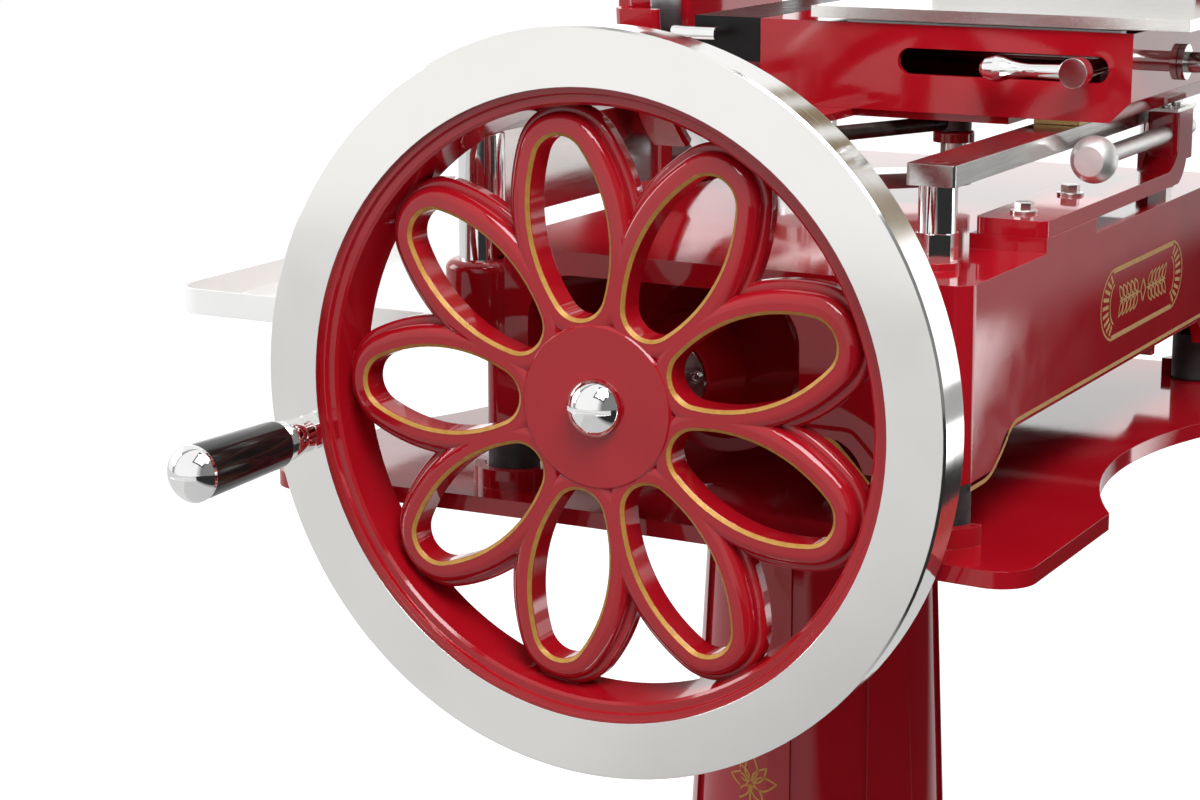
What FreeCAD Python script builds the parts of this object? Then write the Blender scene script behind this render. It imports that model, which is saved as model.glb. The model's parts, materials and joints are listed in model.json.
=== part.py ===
"""Hand cranked flywheel slicer on its pedestal, as a parametric FreeCAD document.

Frame: +Z up, origin on the floor at the axis of the pedestal's column. +X runs along the main
shaft towards the flywheel, -Y is the operator's side with the knife and the slice tray, and
+Y is the side that the meat is fed from. All sizes are in millimetres.
"""
import FreeCAD, Part
import math
import os
import Sketcher

doc = FreeCAD.newDocument("FlywheelSlicer")
sheet = doc.addObject("Spreadsheet::Sheet", "sizes")
VECTOR = FreeCAD.Vector

# ---------------------------------------------------------------------------------------------
# Driving sizes. Heights that start with a name of a piece are measured as the name says;
# everything on the machine is measured from the top of the stand's plate, the deck.
# ---------------------------------------------------------------------------------------------
SIZES = [
    # pedestal
    ("deck_height", 780, "floor to the top of the stand's plate"),
    ("plate_thickness", 12, "stand plate"),
    ("plate_half_length", 359, "stand plate, middle to the lobes of its short edge"),
    ("plate_half_width", 298, "stand plate, middle to its long edge"),
    ("plate_end_sag", 10, "hollow of the short edge"),
    ("plate_corner", 27, "corner radius"),
    ("plate_waist", 251, "half width where the long edge is hollowed"),
    ("plate_waist_half", 180, "half length of the hollow in the long edge"),
    ("column_top_radius", 91, "below the collar"),
    ("column_foot_radius", 122, "at the top of the foot"),
    ("column_wall", 9, "casting wall"),
    ("collar_radius", 98, "band under the plate"),
    ("collar_height", 30, "band under the plate"),
    ("panel_depth", 3, "sunk panels of the column"),
    ("panel_width", 62, "sunk panels of the column"),
    ("panel_count", 6, "sunk panels round the column"),
    ("foot_radius", 258, "pedestal foot"),
    ("foot_edge", 18, "pedestal foot, thickness at its edge"),
    ("foot_rise", 96, "pedestal foot, height"),
    ("foot_wall", 13, "pedestal foot, casting wall"),
    ("floor_bolt_circle", 452, "holes in the pedestal foot, pitch circle diameter"),
    ("floor_hole_radius", 6.5, "holes in the pedestal foot"),
    ("column_bolt_circle", 146, "bolts that hold the plate to the column"),
    ("column_bolt_radius", 5, "bolts that hold the plate to the column"),
    # base casting
    ("base_half_length", 311, "base casting"),
    ("base_front", 138, "base casting, shaft to the operator's side"),
    ("base_back", 238, "base casting, shaft to the feeding side"),
    ("base_top", 177, "deck to the top of the casting"),
    ("foot_height", 41, "deck to the underside of the legs"),
    ("base_wall", 9, "casting wall"),
    ("base_roof", 11, "casting thickness under its top"),
    ("base_corner", 14, "upright corner radius"),
    ("arch_height", 63, "deck to the crown of the arches"),
    ("arch_flare", 34, "radius between an arch and its leg"),
    ("leg_length", 62, "leg along the long side"),
    ("leg_width", 72, "leg along the short side"),
    ("niche_top", 160, "deck to the roof of the bay round the shaft bearing"),
    ("niche_front", 98, "half width of the bay to the operator's side"),
    ("niche_back", 116, "half width of the bay to the feeding side"),
    ("niche_depth", 118, "bay, from the end of the casting to its wall"),
    ("niche_corner", 36, "bay, corner radius"),
    ("bell_radius", 30, "shaft bearing, nose"),
    ("bell_root", 62, "shaft bearing, at the wall"),
    ("bell_length", 84, "shaft bearing, wall to nose"),
    ("rubber_radius", 19, "machine feet"),
    ("rubber_inset_x", 14, "machine feet, from the end of the casting"),
    ("rubber_inset_y", 20, "machine feet, from the side of the casting"),
    # flywheel and main shaft
    ("shaft_height", 86, "deck to the main shaft"),
    ("shaft_radius", 13, "main shaft"),
    ("shaft_fit", 0.05, "radial clearance of running fits"),
    ("wheel_radius", 260, "flywheel"),
    ("wheel_face", 404, "column axis to the outer face of the rim"),
    ("rim_depth", 44, "rim along the shaft"),
    ("rim_width", 40.4, "polished band, radially"),
    ("rim_bevel", 1.6, "edge of the band"),
    ("rim_back_bevel", 9, "back edge of the rim"),
    ("ring_width", 12.6, "painted ring inside the band, at its front"),
    ("ring_taper", 4, "painted ring, wider at its back by this"),
    ("ring_step", 5, "painted ring behind the face of the band"),
    ("ring_depth", 39, "painted ring along the shaft"),
    ("hub_radius", 57.5, "hub disc"),
    ("hub_step", 14, "hub disc behind the face of the band"),
    ("hub_depth", 30, "hub along the shaft"),
    ("petal_count", 9, "petals"),
    ("petal_hub_gap", 4, "hub disc to an opening"),
    ("petal_ring_gap", 20.5, "opening to the painted ring"),
    ("petal_share", 0.695, "half width of an opening, as a share of half its room at its middle"),
    ("petal_end_radius", 19, "round end of an opening"),
    ("petal_wall", 16, "width of the rounded bar round an opening"),
    ("petal_step", 15, "petals behind the face of the band"),
    ("petal_depth", 22, "petals along the shaft"),
    ("petal_round", 8, "rounding of the bars"),
    ("skirt_wall", 21.5, "width of the lower layer behind a bar"),
    ("skirt_depth", 12, "lower layer along the shaft"),
    ("skirt_round", 4, "rounding of the lower layer"),
    ("petal_flare", 2.5, "slope round the front of an opening"),
    ("nut_radius", 20, "dome nut"),
    ("nut_height", 17, "dome nut"),
    # handle
    ("handle_inset", 29, "edge of the flywheel to the handle"),
    ("handle_angle", 190, "handle at rest, from +Y towards +Z, degrees"),
    ("spindle_radius", 6, "handle spindle"),
    ("neck_radius", 13, "collar at the rim"),
    ("neck_length", 16, "collar at the rim"),
    ("grip_length", 120, "grip"),
    ("grip_radius", 20, "grip at its outer end"),
    ("grip_neck", 13, "grip at the rim"),
    ("cap_height", 15, "domed cap of the grip"),
    # rails
    ("back_rail_y", 190, "shaft to the middle of the rear rail"),
    ("back_rail_bottom", 235, "deck to the underside"),
    ("back_rail_thickness", 15, "flat bar"),
    ("back_rail_width", 36, "flat bar"),
    ("back_rail_half", 265, "half length"),
    ("back_post_x", 249, "posts of the rear rail"),
    ("back_post_radius", 13.5, "posts of the rear rail"),
    ("hex_radius", 15, "hexagon at the foot of a rear post, across corners over two"),
    ("hex_height", 20, "hexagon at the foot of a rear post"),
    ("front_rail_bottom", 258, "deck to the underside"),
    ("front_rail_thickness", 12, "flat bar"),
    ("front_rail_width", 24, "flat bar"),
    ("front_rail_half", 314, "half length"),
    ("front_post_x", 300, "posts of the front rail"),
    ("front_post_radius", 17, "posts of the front rail"),
    ("front_post_offset", 4, "posts of the front rail, beyond the side of the casting"),
    ("boss_top", 165, "deck to the top of the bosses of the front posts"),
    ("boss_radius", 27, "bosses of the front posts"),
    ("boss_round", 7, "shoulder of the bosses"),
    ("boss_height", 62, "bosses of the front posts"),
    ("slide_gap", 0.3, "air between moving pieces"),
    # crank drive
    ("crank_x", 14, "crank shaft"),
    ("crank_radius", 110, "throw"),
    ("crank_angle", 131.8, "crank pin at rest, degrees"),
    ("crank_shaft_radius", 12, "crank shaft"),
    ("crank_arm_bottom", 190, "deck to the underside of the crank"),
    ("crank_arm_thickness", 12, "crank"),
    ("crank_pin_radius", 10.5, "crank pin"),
    ("crank_cap_top", 233, "deck to the top of the pin's cap"),
    ("crank_cap_height", 9, "pin's cap"),
    ("crank_cap_radius", 16.5, "pin's cap"),
    ("rod_radius", 6, "connecting rod"),
    ("rod_length", 190, "between its eyes"),
    ("rod_eye", 14, "eyes of the connecting rod"),
    ("rod_thickness", 12, "eyes of the connecting rod"),
    ("wrist_y", 7, "carriage pin across the machine"),
    ("wrist_radius", 7, "carriage pin"),
    # bevel gears
    ("miter_radius", 36, "pitch radius at the large end"),
    ("miter_face", 14, "tooth length along the shaft"),
    ("miter_teeth", 20, "teeth"),
    ("tooth_height", 4, "teeth"),
    # knife
    ("knife_x", -160, "knife axis"),
    ("knife_height", 335, "deck to the knife axis"),
    ("knife_radius", 154, "knife"),
    ("knife_thickness", 5, "knife"),
    ("knife_plane", -165, "middle plane of the knife"),
    ("knife_bevel", 12, "ground edge, radially"),
    ("knife_hub", 42, "flange of the knife shaft"),
    ("hub_plate", 95, "painted plate in the middle of the knife"),
    ("hub_plate_depth", 5, "painted plate in the middle of the knife"),
    ("knife_shaft_radius", 12, "knife shaft"),
    ("cover_radius", 138, "cover disc on the slice side"),
    ("cover_gap", 3, "knife to the cover disc"),
    ("cover_depth", 22, "cover disc"),
    ("guard_radius", 165, "guard ring, outside"),
    ("guard_gap", 4, "cover disc to the guard ring"),
    ("guard_reach", 9, "guard ring beyond the knife towards the meat"),
    ("guard_flange", 8, "guard ring, flange on the slice side"),
    ("window_start", -4, "guard ring, opening where the slice leaves, degrees"),
    ("window_end", 62, "guard ring, opening where the slice leaves, degrees"),
    ("under_start", 200, "guard ring, opening over the stand, degrees"),
    ("under_end", 308, "guard ring, opening over the stand, degrees"),
    ("stand_half_width", 56, "knife stand"),
    ("stand_depth", 52, "knife stand"),
    ("stand_wall", 8, "knife stand"),
    ("stand_cover", 5, "cover of the chain"),
    ("lower_sprocket", 40, "pitch radius"),
    ("upper_sprocket", 20, "pitch radius"),
    ("sprocket_thickness", 7, "both sprockets"),
    ("chain_width", 9, "chain"),
    ("chain_height", 8, "chain"),
    # carriage
    ("carriage_near", 20, "end of the carriage towards the flywheel"),
    ("carriage_length", 250, "carriage"),
    ("housing_front", -52, "housing of the feed, operator's side"),
    ("housing_back", 251, "housing of the feed, feeding side"),
    ("housing_bottom", 255, "deck to its underside"),
    ("housing_top", 322, "deck to its top"),
    ("housing_wall", 6, "housing wall"),
    ("housing_bevel", 16, "lower edge along the sides"),
    ("slot_start", 65, "slot of the release lever"),
    ("slot_end", 233, "slot of the release lever"),
    ("slot_middle", 294, "deck to the middle of the slot"),
    ("slot_height", 20, "slot of the release lever"),
    ("lever_shaft", 6, "release lever, shaft radius"),
    ("bridge_thickness", 13, "carriage frame over the front rail"),
    ("floor_thickness", 6, "carriage frame under the housing"),
    ("cover_front", -112, "cover of the slide, operator's side"),
    ("tongue_width", 40, "frame at the carriage pin"),
    # table
    ("table_front", -7, "meat table"),
    ("table_back", 294, "meat table"),
    ("table_bottom", 325, "deck to the rolled edge of the table"),
    ("table_depth", 9, "rolled edge of the table"),
    ("table_sheet", 3, "table sheet"),
    ("table_lip", 4, "table beyond the carriage at each end"),
    ("table_travel", 140, "feed"),
    ("screw_radius", 8, "feed screw"),
    ("screw_x", -105, "feed screw"),
    ("screw_height", 291, "deck to the feed screw"),
    ("fence_height", 52, "fence along the table"),
    ("fence_thickness", 4, "fence along the table"),
    ("post_radius", 9, "post of the meat clamp"),
    ("post_height", 190, "post of the meat clamp"),
    ("clamp_reach", 95, "post to the clamp's screw"),
    # regulator
    ("pad_start", 49, "raised pad of the bracket"),
    ("pad_end", 160, "raised pad of the bracket"),
    ("pad_height", 11, "raised pad of the bracket"),
    ("bracket_thickness", 12, "bracket foot"),
    ("bracket_width", 50, "bracket foot"),
    ("bracket_y", 208, "middle of the bracket's foot"),
    ("block_x", -150, "near face of the bracket's block"),
    ("block_length", 46, "bracket's block"),
    ("block_bottom", 206, "deck to the block"),
    ("block_top", 246, "deck to the top of the block"),
    ("regulator_height", 228, "deck to the regulator rod"),
    ("regulator_radius", 7, "regulator rod"),
    ("regulator_y", 226.5, "regulator rod"),
    ("ball_radius", 18, "ball knob"),
    ("ball_x", 25, "ball knob"),
    # slice side
    ("tray_near", 288, "slice tray, end towards the flywheel"),
    ("tray_far", -96, "slice tray, far end"),
    ("tray_front", -433, "slice tray, operator's edge"),
    ("tray_back", -165, "slice tray, edge at the casting"),
    ("tray_top", 117, "deck to the rim of the tray"),
    ("tray_depth", 20, "slice tray"),
    ("tray_sheet", 1.5, "slice tray"),
    ("tray_corner", 24, "slice tray"),
    ("bearer_radius", 6, "bars under the slice tray"),
    ("deflector_near", 164, "slice deflector, near edge"),
    ("deflector_far", -98, "slice deflector, far edge"),
    ("deflector_plane", -206, "slice deflector"),
    ("deflector_bottom", 171, "deck to the slice deflector"),
    ("deflector_top", 300, "deck to the top of the slice deflector"),
    ("deflector_sheet", 3, "slice deflector"),
    ("hinge_x", 196, "post of the deflector"),
    ("hinge_radius", 7, "post of the deflector"),
    # sharpener
    ("sharpener_width", 44, "sharpener body"),
    ("sharpener_height", 78, "sharpener body"),
    ("stone_radius", 17, "sharpening stones"),
    ("stone_thickness", 8, "sharpening stones"),
]


class Size:
    """A length or an angle that knows its value and the formula that gives it."""

    def __init__(self, formula, value):
        self.formula = formula
        self.value = float(value)

    def join(self, other, sign, value):
        return Size("(%s %s %s)" % (self.formula, sign, as_size(other).formula), value)

    def __add__(self, other):
        return self.join(other, "+", self.value + float(other))

    def __radd__(self, other):
        return as_size(other) + self

    def __sub__(self, other):
        return self.join(other, "-", self.value - float(other))

    def __rsub__(self, other):
        return as_size(other) - self

    def __mul__(self, other):
        return self.join(other, "*", self.value * float(other))

    def __rmul__(self, other):
        return as_size(other) * self

    def __truediv__(self, other):
        return self.join(other, "/", self.value / float(other))

    def __neg__(self):
        return as_size(0) - self

    def __float__(self):
        return self.value


def as_size(number):
    """Any number as a Size."""
    return number if isinstance(number, Size) else Size("(%.9g)" % float(number), number)


def cosine(angle):
    return Size("cos(%s * 1 deg)" % as_size(angle).formula, math.cos(math.radians(float(angle))))


def sine(angle):
    return Size("sin(%s * 1 deg)" % as_size(angle).formula, math.sin(math.radians(float(angle))))


class Sizes:
    """The rows of the sheet as attributes: S.wheel_radius is the flywheel's radius."""


S = Sizes()
for row, (alias, number, meaning) in enumerate(SIZES, start=1):
    sheet.set("A%d" % row, alias)
    sheet.set("B%d" % row, str(number))
    sheet.set("C%d" % row, meaning)
    sheet.setAlias("B%d" % row, alias)
doc.recompute()
for alias, number, meaning in SIZES:
    setattr(S, alias, Size("sizes." + alias, sheet.get(alias)))

# ---------------------------------------------------------------------------------------------
# Small helpers: each makes one object of the document and ties its sizes to the sheet.
# ---------------------------------------------------------------------------------------------
TURNS = {
    "Z": FreeCAD.Rotation(),
    "X": FreeCAD.Rotation(VECTOR(0, 1, 0), 90),
    "Y": FreeCAD.Rotation(VECTOR(1, 0, 0), -90),
    "-Z": FreeCAD.Rotation(VECTOR(1, 0, 0), 180),
    "-X": FreeCAD.Rotation(VECTOR(0, 1, 0), -90),
    "-Y": FreeCAD.Rotation(VECTOR(1, 0, 0), 90),
}


def tie(item, field, number):
    """Binds one property to the sheet."""
    item.setExpression(field, as_size(number).formula)


def place(item, at, turn="Z"):
    """Puts an object at three Sizes, turned so that its own Z runs along an axis."""
    rotation = TURNS[turn] if isinstance(turn, str) else turn
    item.Placement = FreeCAD.Placement(VECTOR(*[float(value) for value in at]), rotation)
    for letter, value in zip("xyz", at):
        tie(item, "Placement.Base." + letter, value)
    return item


def cylinder(name, radius, length, at, turn="Z"):
    item = doc.addObject("Part::Cylinder", name)
    tie(item, "Radius", radius)
    tie(item, "Height", length)
    return place(item, at, turn)


def cone(name, radius, end_radius, length, at, turn="Z"):
    item = doc.addObject("Part::Cone", name)
    tie(item, "Radius1", radius)
    tie(item, "Radius2", end_radius)
    tie(item, "Height", length)
    return place(item, at, turn)


def ball(name, radius, at):
    item = doc.addObject("Part::Sphere", name)
    tie(item, "Radius", radius)
    return place(item, at)


def block(name, low, high):
    """A box from its lowest to its highest corner."""
    item = doc.addObject("Part::Box", name)
    for field, start, end in zip(("Length", "Width", "Height"), low, high):
        tie(item, field, as_size(end) - start)
    return place(item, low)


def swing(item, angle, about=VECTOR(0, 0, 1)):
    """Turns an object about an axis through its own origin, the upright unless said."""
    item.Placement.Rotation = FreeCAD.Rotation(about, float(angle))
    tie(item, "Placement.Rotation.Angle", as_size(angle) * Size("1 deg", 1))
    return item


def prism(name, sides, radius, length, at, turn="Z"):
    """A regular prism, such as a hexagon head; the radius is to its corners."""
    item = doc.addObject("Part::Prism", name)
    item.Polygon = sides
    tie(item, "Circumradius", radius)
    tie(item, "Height", length)
    return place(item, at, turn)


def cut(name, base, tools):
    item = doc.addObject("Part::Cut", name)
    item.Base = base
    item.Tool = tools[0] if len(tools) == 1 else fuse(name + "_tools", tools)
    return item


def fuse(name, pieces):
    item = doc.addObject("Part::MultiFuse", name)
    item.Shapes = pieces
    return item


def common(name, pieces):
    item = doc.addObject("Part::MultiCommon", name)
    item.Shapes = pieces
    return item


def group(name, pieces):
    """Separate solids that share one node, such as the bolts of one joint."""
    if len(pieces) == 1:
        return pieces[0]
    item = doc.addObject("Part::Compound", name)
    item.Links = pieces
    return item


def tube(name, radius, bore, length, at, turn="Z"):
    return cut(name, cylinder(name + "_body", radius, length, at, turn),
               [cylinder(name + "_bore", bore, length, at, turn)])


def ease(name, base, radius, wanted):
    """Rounds the edges that the test picks, by less than the shape allows."""
    doc.recompute()
    picked = [number for number, edge in enumerate(base.Shape.Edges, start=1) if wanted(edge)]
    item = doc.addObject("Part::Fillet", name)
    item.Base = base
    item.Edges = [(number, float(radius), float(radius)) for number in picked]
    return item


def bevel(name, base, size, wanted):
    """Chamfers the edges that the test picks."""
    doc.recompute()
    picked = [number for number, edge in enumerate(base.Shape.Edges, start=1) if wanted(edge)]
    item = doc.addObject("Part::Chamfer", name)
    item.Base = base
    item.Edges = [(number, float(size), float(size)) for number in picked]
    return item


def upright(edge):
    """An edge that runs straight up."""
    ends = [corner.Point for corner in edge.Vertexes]
    return (len(ends) == 2 and abs(ends[0].x - ends[1].x) < 0.01
            and abs(ends[0].y - ends[1].y) < 0.01)


def circle_at(axis, position, radius=None):
    """A test for round edges in one plane, square to X, Y or Z."""
    def wanted(edge):
        centre = edge.BoundBox.Center
        flat = getattr(edge.BoundBox, axis + "Length") < 0.01
        there = abs(getattr(centre, axis.lower()) - float(position)) < 0.01
        if not (flat and there and isinstance(edge.Curve, Part.Circle)):
            return False
        return radius is None or abs(edge.Curve.Radius - float(radius)) < 0.01
    return wanted


def sketch(body, name, plane, points, arcs=()):
    """A closed outline on a plane of the body; each corner is tied to the sheet.

    points are pairs of Sizes. arcs maps the number of a side to the radius of the arc that
    takes its place, positive where the arc bulges to the right of the direction of travel.
    """
    outline = body.newObject("Sketcher::SketchObject", name)
    home = [part for part in body.Origin.OriginFeatures if part.Role == plane][0]
    outline.AttachmentSupport = [(home, "")]
    outline.MapMode = "FlatFace"
    arcs = dict(arcs)
    count = len(points)
    flat = [VECTOR(float(x), float(y), 0) for x, y in points]
    starts = []
    for side in range(count):
        start, end = flat[side], flat[(side + 1) % count]
        if side in arcs:
            radius = float(arcs[side])
            chord = end - start
            across = VECTOR(chord.y, -chord.x, 0).normalize()
            height = math.sqrt(max(radius * radius - chord.Length ** 2 / 4.0, 0.0))
            way = 1.0 if radius > 0 else -1.0
            crown = (start + end) * 0.5 + across * (way * (abs(radius) - height))
            outline.addGeometry(Part.Arc(start, crown, end))
            starts.append(1 if radius > 0 else 2)
        else:
            outline.addGeometry(Part.LineSegment(start, end))
            starts.append(1)
    for side in range(count):
        after = (side + 1) % count
        outline.addConstraint(Sketcher.Constraint(
            "Coincident", side, 3 - starts[side], after, starts[after]))
    for side in range(count):
        for kind, value, source in (("DistanceX", flat[side].x, points[side][0]),
                                    ("DistanceY", flat[side].y, points[side][1])):
            number = outline.addConstraint(Sketcher.Constraint(
                kind, -1, 1, side, starts[side], value))
            tie(outline, "Constraints[%d]" % number, source)
    for side, radius in arcs.items():
        number = outline.addConstraint(Sketcher.Constraint("Radius", side, abs(float(radius))))
        size = as_size(radius)
        tie(outline, "Constraints[%d]" % number, size if float(size) > 0 else -size)
    return outline


def extruded(name, points, low, high, plane="XY_Plane", arcs=()):
    """A PartDesign body: an outline padded between two levels square to its plane."""
    body = doc.addObject("PartDesign::Body", name)
    outline = sketch(body, name + "_outline", plane, points, arcs)
    pad = body.newObject("PartDesign::Pad", name + "_pad")
    pad.Profile = outline
    tie(pad, "Length", as_size(high) - low)
    if plane == "XY_Plane":
        place(body, (0, 0, low))
    elif plane == "XZ_Plane":
        place(body, (0, high, 0))
    else:
        place(body, (low, 0, 0))
    return body


def revolved(name, points, at, turn="Z", arcs=()):
    """A PartDesign body turned round its own Z axis; points are radius and height."""
    body = doc.addObject("PartDesign::Body", name)
    outline = sketch(body, name + "_section", "XZ_Plane", points, arcs)
    turned = body.newObject("PartDesign::Revolution", name + "_turned")
    turned.Profile = outline
    axis = [part for part in body.Origin.OriginFeatures if part.Role == "Z_Axis"][0]
    turned.ReferenceAxis = (axis, [""])
    turned.Angle = 360
    return place(body, at, turn)


NODES = []
SCREWS = []


def node(name, item):
    """Names a finished sub-part; the name is also the name of its file."""
    item.Label = name
    NODES.append(item)
    return item


def both(value):
    """The same distance on both sides of the middle."""
    return (value, -value)


def round_end(half_width):
    """The radius of an outline's end that is a half circle of this half width."""
    return half_width + 0.0001


# ---------------------------------------------------------------------------------------------
# Levels and places that many pieces share.
# ---------------------------------------------------------------------------------------------
deck = S.deck_height
plate_under = deck - S.plate_thickness
leg_under = deck + S.foot_height
casting_top = deck + S.base_top
shaft_z = deck + S.shaft_height
wheel_back = S.wheel_face - S.rim_depth
base_end = S.base_half_length
bay_wall = base_end - S.niche_depth
knife_z = deck + S.knife_height
knife_back = S.knife_plane + S.knife_thickness / 2
knife_face = S.knife_plane - S.knife_thickness / 2
cover_back = knife_face - S.cover_gap
stand_back = cover_back - S.cover_depth
stand_front = stand_back - S.stand_depth
carriage_far = S.carriage_near - S.carriage_length
mid_wall_x = S.knife_x + S.miter_radius + 9
post_y = -S.base_front - S.front_post_offset
petal_start = S.hub_radius + S.petal_hub_gap
petal_end = S.wheel_radius - S.rim_width - S.ring_width - S.petal_ring_gap
petal_middle = (petal_start + petal_end) / 2
petal_half_length = (petal_end - petal_start) / 2
petal_half_width = petal_middle * sine(180 / float(S.petal_count)) * S.petal_share
handle_circle = S.wheel_radius - S.handle_inset
lever_y = S.slot_end - 17


# --- pedestal --------------------------------------------------------------------------------
def pedestal_foot():
    """A trumpet shaped casting, hollow underneath, with four holes for floor bolts."""
    inner = S.column_foot_radius - S.column_wall
    casting = revolved("foot_casting", [
        (inner, S.foot_rise),
        (S.column_foot_radius + 8, S.foot_rise),
        (S.foot_radius, S.foot_edge),
        (S.foot_radius, 0),
        (S.foot_radius - S.foot_wall * 1.6, 0),
        (inner, S.foot_rise - S.foot_wall * 1.6),
    ], (0, 0, 0), arcs={1: S.foot_radius * 0.62, 4: S.foot_radius * -0.62})
    pads = []
    holes = []
    for number in range(4):
        angle = 45 + 90 * number
        spot = (S.floor_bolt_circle / 2 * cosine(angle), S.floor_bolt_circle / 2 * sine(angle))
        pads.append(cylinder("foot_pad", S.floor_hole_radius * 3, S.foot_edge + 8, spot + (0,)))
        holes.append(cylinder("foot_hole", S.floor_hole_radius, S.foot_edge + 40, spot + (0,)))
    return node("pedestal_foot", cut("foot_drilled", fuse("foot_padded", [casting] + pads), holes))


def pedestal_column():
    """A tapered hollow casting with a collar and sunk panels; its top is a bolting flange."""
    top = plate_under
    neck = top - S.collar_height
    wall = S.column_wall
    shell = revolved("column_shell", [
        (S.column_foot_radius - wall, S.foot_rise),
        (S.column_foot_radius, S.foot_rise),
        (S.column_top_radius, neck - 4),
        (S.collar_radius, neck),
        (S.collar_radius, top - 3),
        (S.collar_radius - 3, top),
        (S.column_top_radius / 2, top),
        (S.column_top_radius / 2, top - 14),
        (S.column_top_radius - wall, top - 14 - wall),
    ], (0, 0, 0))
    depth, proud = S.panel_depth, 10
    skin = revolved("column_skin", [
        (S.column_foot_radius - depth, S.foot_rise), (S.column_foot_radius + proud, S.foot_rise),
        (S.column_top_radius + proud, neck - 4), (S.column_top_radius - depth, neck - 4),
    ], (0, 0, 0))
    half = S.panel_width / 2
    outlines = []
    for number in range(int(float(S.panel_count))):
        panel = extruded("panel", [
            (-half, S.foot_rise + 70), (half, S.foot_rise + 70),
            (half, neck - 18 - half * 0.6), (-half, neck - 18 - half * 0.6),
        ], 0, S.foot_radius, "YZ_Plane", arcs={2: half * 1.15})
        outlines.append(swing(panel, 28.5 + number * 360 / float(S.panel_count)))
    panels = common("column_panels", [skin, fuse("panel_outlines", outlines)])
    collar_skin = tube("collar_skin", S.collar_radius + proud, S.collar_radius - depth / 2,
                       S.collar_height - 12, (0, 0, neck + 5))
    dies = [swing(block("collar_die", (0, -half * 0.8, neck), (S.foot_radius, half * 0.8, top)),
                  28.5 + number * 360 / float(S.panel_count))
            for number in range(int(float(S.panel_count)))]
    tools = [panels, common("collar_panels", [collar_skin, fuse("collar_dies", dies)])]
    bolts = []
    for number in range(4):
        angle = 90 * number
        spot = (S.column_bolt_circle / 2 * cosine(angle), S.column_bolt_circle / 2 * sine(angle))
        bolts.append(cylinder("column_thread", S.column_bolt_radius, 14 + wall,
                              spot + (top - 14 - wall,)))
    return node("pedestal_column", cut("column_sunk", shell, tools + bolts))


def rubber_spots():
    """The four machine feet, seen from above."""
    x = base_end - S.rubber_inset_x
    return [(side * x, y) for side in (1, -1)
            for y in (S.rubber_inset_y - S.base_front, S.base_back - S.rubber_inset_y)]


def stand_plate():
    """The plate between pedestal and machine, with hollowed edges and C-shaped stops."""
    end, side = S.plate_half_length, S.plate_half_width
    round_x, round_y = end - S.plate_corner, side - S.plate_corner
    waist = S.plate_waist_half
    rise = side - S.plate_waist
    waist_radius = (waist * waist + rise * rise) / (2 * rise)
    sag_radius = (round_y * round_y + S.plate_end_sag * S.plate_end_sag) / (2 * S.plate_end_sag)
    corner = S.plate_corner
    blank = extruded("plate_blank", [
        (end, -round_y), (end, round_y), (round_x, side), (waist, side),
        (-waist, side), (-round_x, side), (-end, round_y),
        (-end, -round_y), (-round_x, -side), (-waist, -side), (waist, -side), (round_x, -side),
    ], plate_under, deck, arcs={
        0: -sag_radius, 1: corner, 3: -waist_radius, 5: corner,
        6: -sag_radius, 7: corner, 9: -waist_radius, 11: corner})
    stops = []
    for number, (x, y) in enumerate(rubber_spots()):
        ring = tube("stop_ring", S.rubber_radius + 11, S.rubber_radius + 3, 15, (x, y, deck - 1))
        away = 1 if float(x) > 0 else -1
        low = (x + away * 4, y - 40, deck - 1) if away > 0 else (x - 44, y - 40, deck - 1)
        high = (x + 44, y + 40, deck + 15) if away > 0 else (x - 4, y + 40, deck + 15)
        stops.append(common("stop", [ring, block("stop_side", low, high)]))
    holes = []
    for number in range(4):
        angle = 90 * number
        spot = (S.column_bolt_circle / 2 * cosine(angle), S.column_bolt_circle / 2 * sine(angle))
        holes.append(cylinder("plate_hole", S.column_bolt_radius + 0.4, S.plate_thickness,
                              spot + (plate_under,)))
    return node("stand_plate", cut("plate_drilled", fuse("plate_with_stops", [blank] + stops),
                                   holes))


def stand_bolts():
    """Four hexagon bolts with washers, from the plate into the column."""
    bolts = []
    radius = S.column_bolt_radius
    for number in range(4):
        angle = 90 * number
        x, y = S.column_bolt_circle / 2 * cosine(angle), S.column_bolt_circle / 2 * sine(angle)
        bolts.append(fuse("stand_bolt", [
            cylinder("stand_washer", radius * 2.2, 2, (x, y, deck)),
            prism("stand_head", 6, radius * 1.9, 7, (x, y, deck + 2)),
            cylinder("stand_shank", radius - 0.1, S.plate_thickness + 16,
                     (x, y, plate_under - 16)),
        ]))
    return node("stand_bolts", group("stand_bolt_set", bolts))


def machine_feet():
    """Four rubber feet between the deck and the legs."""
    feet = []
    for x, y in rubber_spots():
        foot = cylinder("rubber", S.rubber_radius, S.foot_height, (x, y, deck))
        feet.append(bevel("rubber_foot", foot, 2, circle_at("Z", deck)))
    return node("machine_feet", group("rubber_feet", feet))


# --- base casting ----------------------------------------------------------------------------
def arch(name, start, end, plane, low, high):
    """A tool for a flat arch: straight crown, a flare at each leg, open below."""
    crown = deck + S.arch_height
    foot = leg_under - 5
    flare = S.arch_flare
    return extruded(name, [
        (start, foot), (end, foot), (end - flare * 0.6, crown), (start + flare * 0.6, crown),
    ], low, high, plane, arcs={1: flare, 3: flare})


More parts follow.
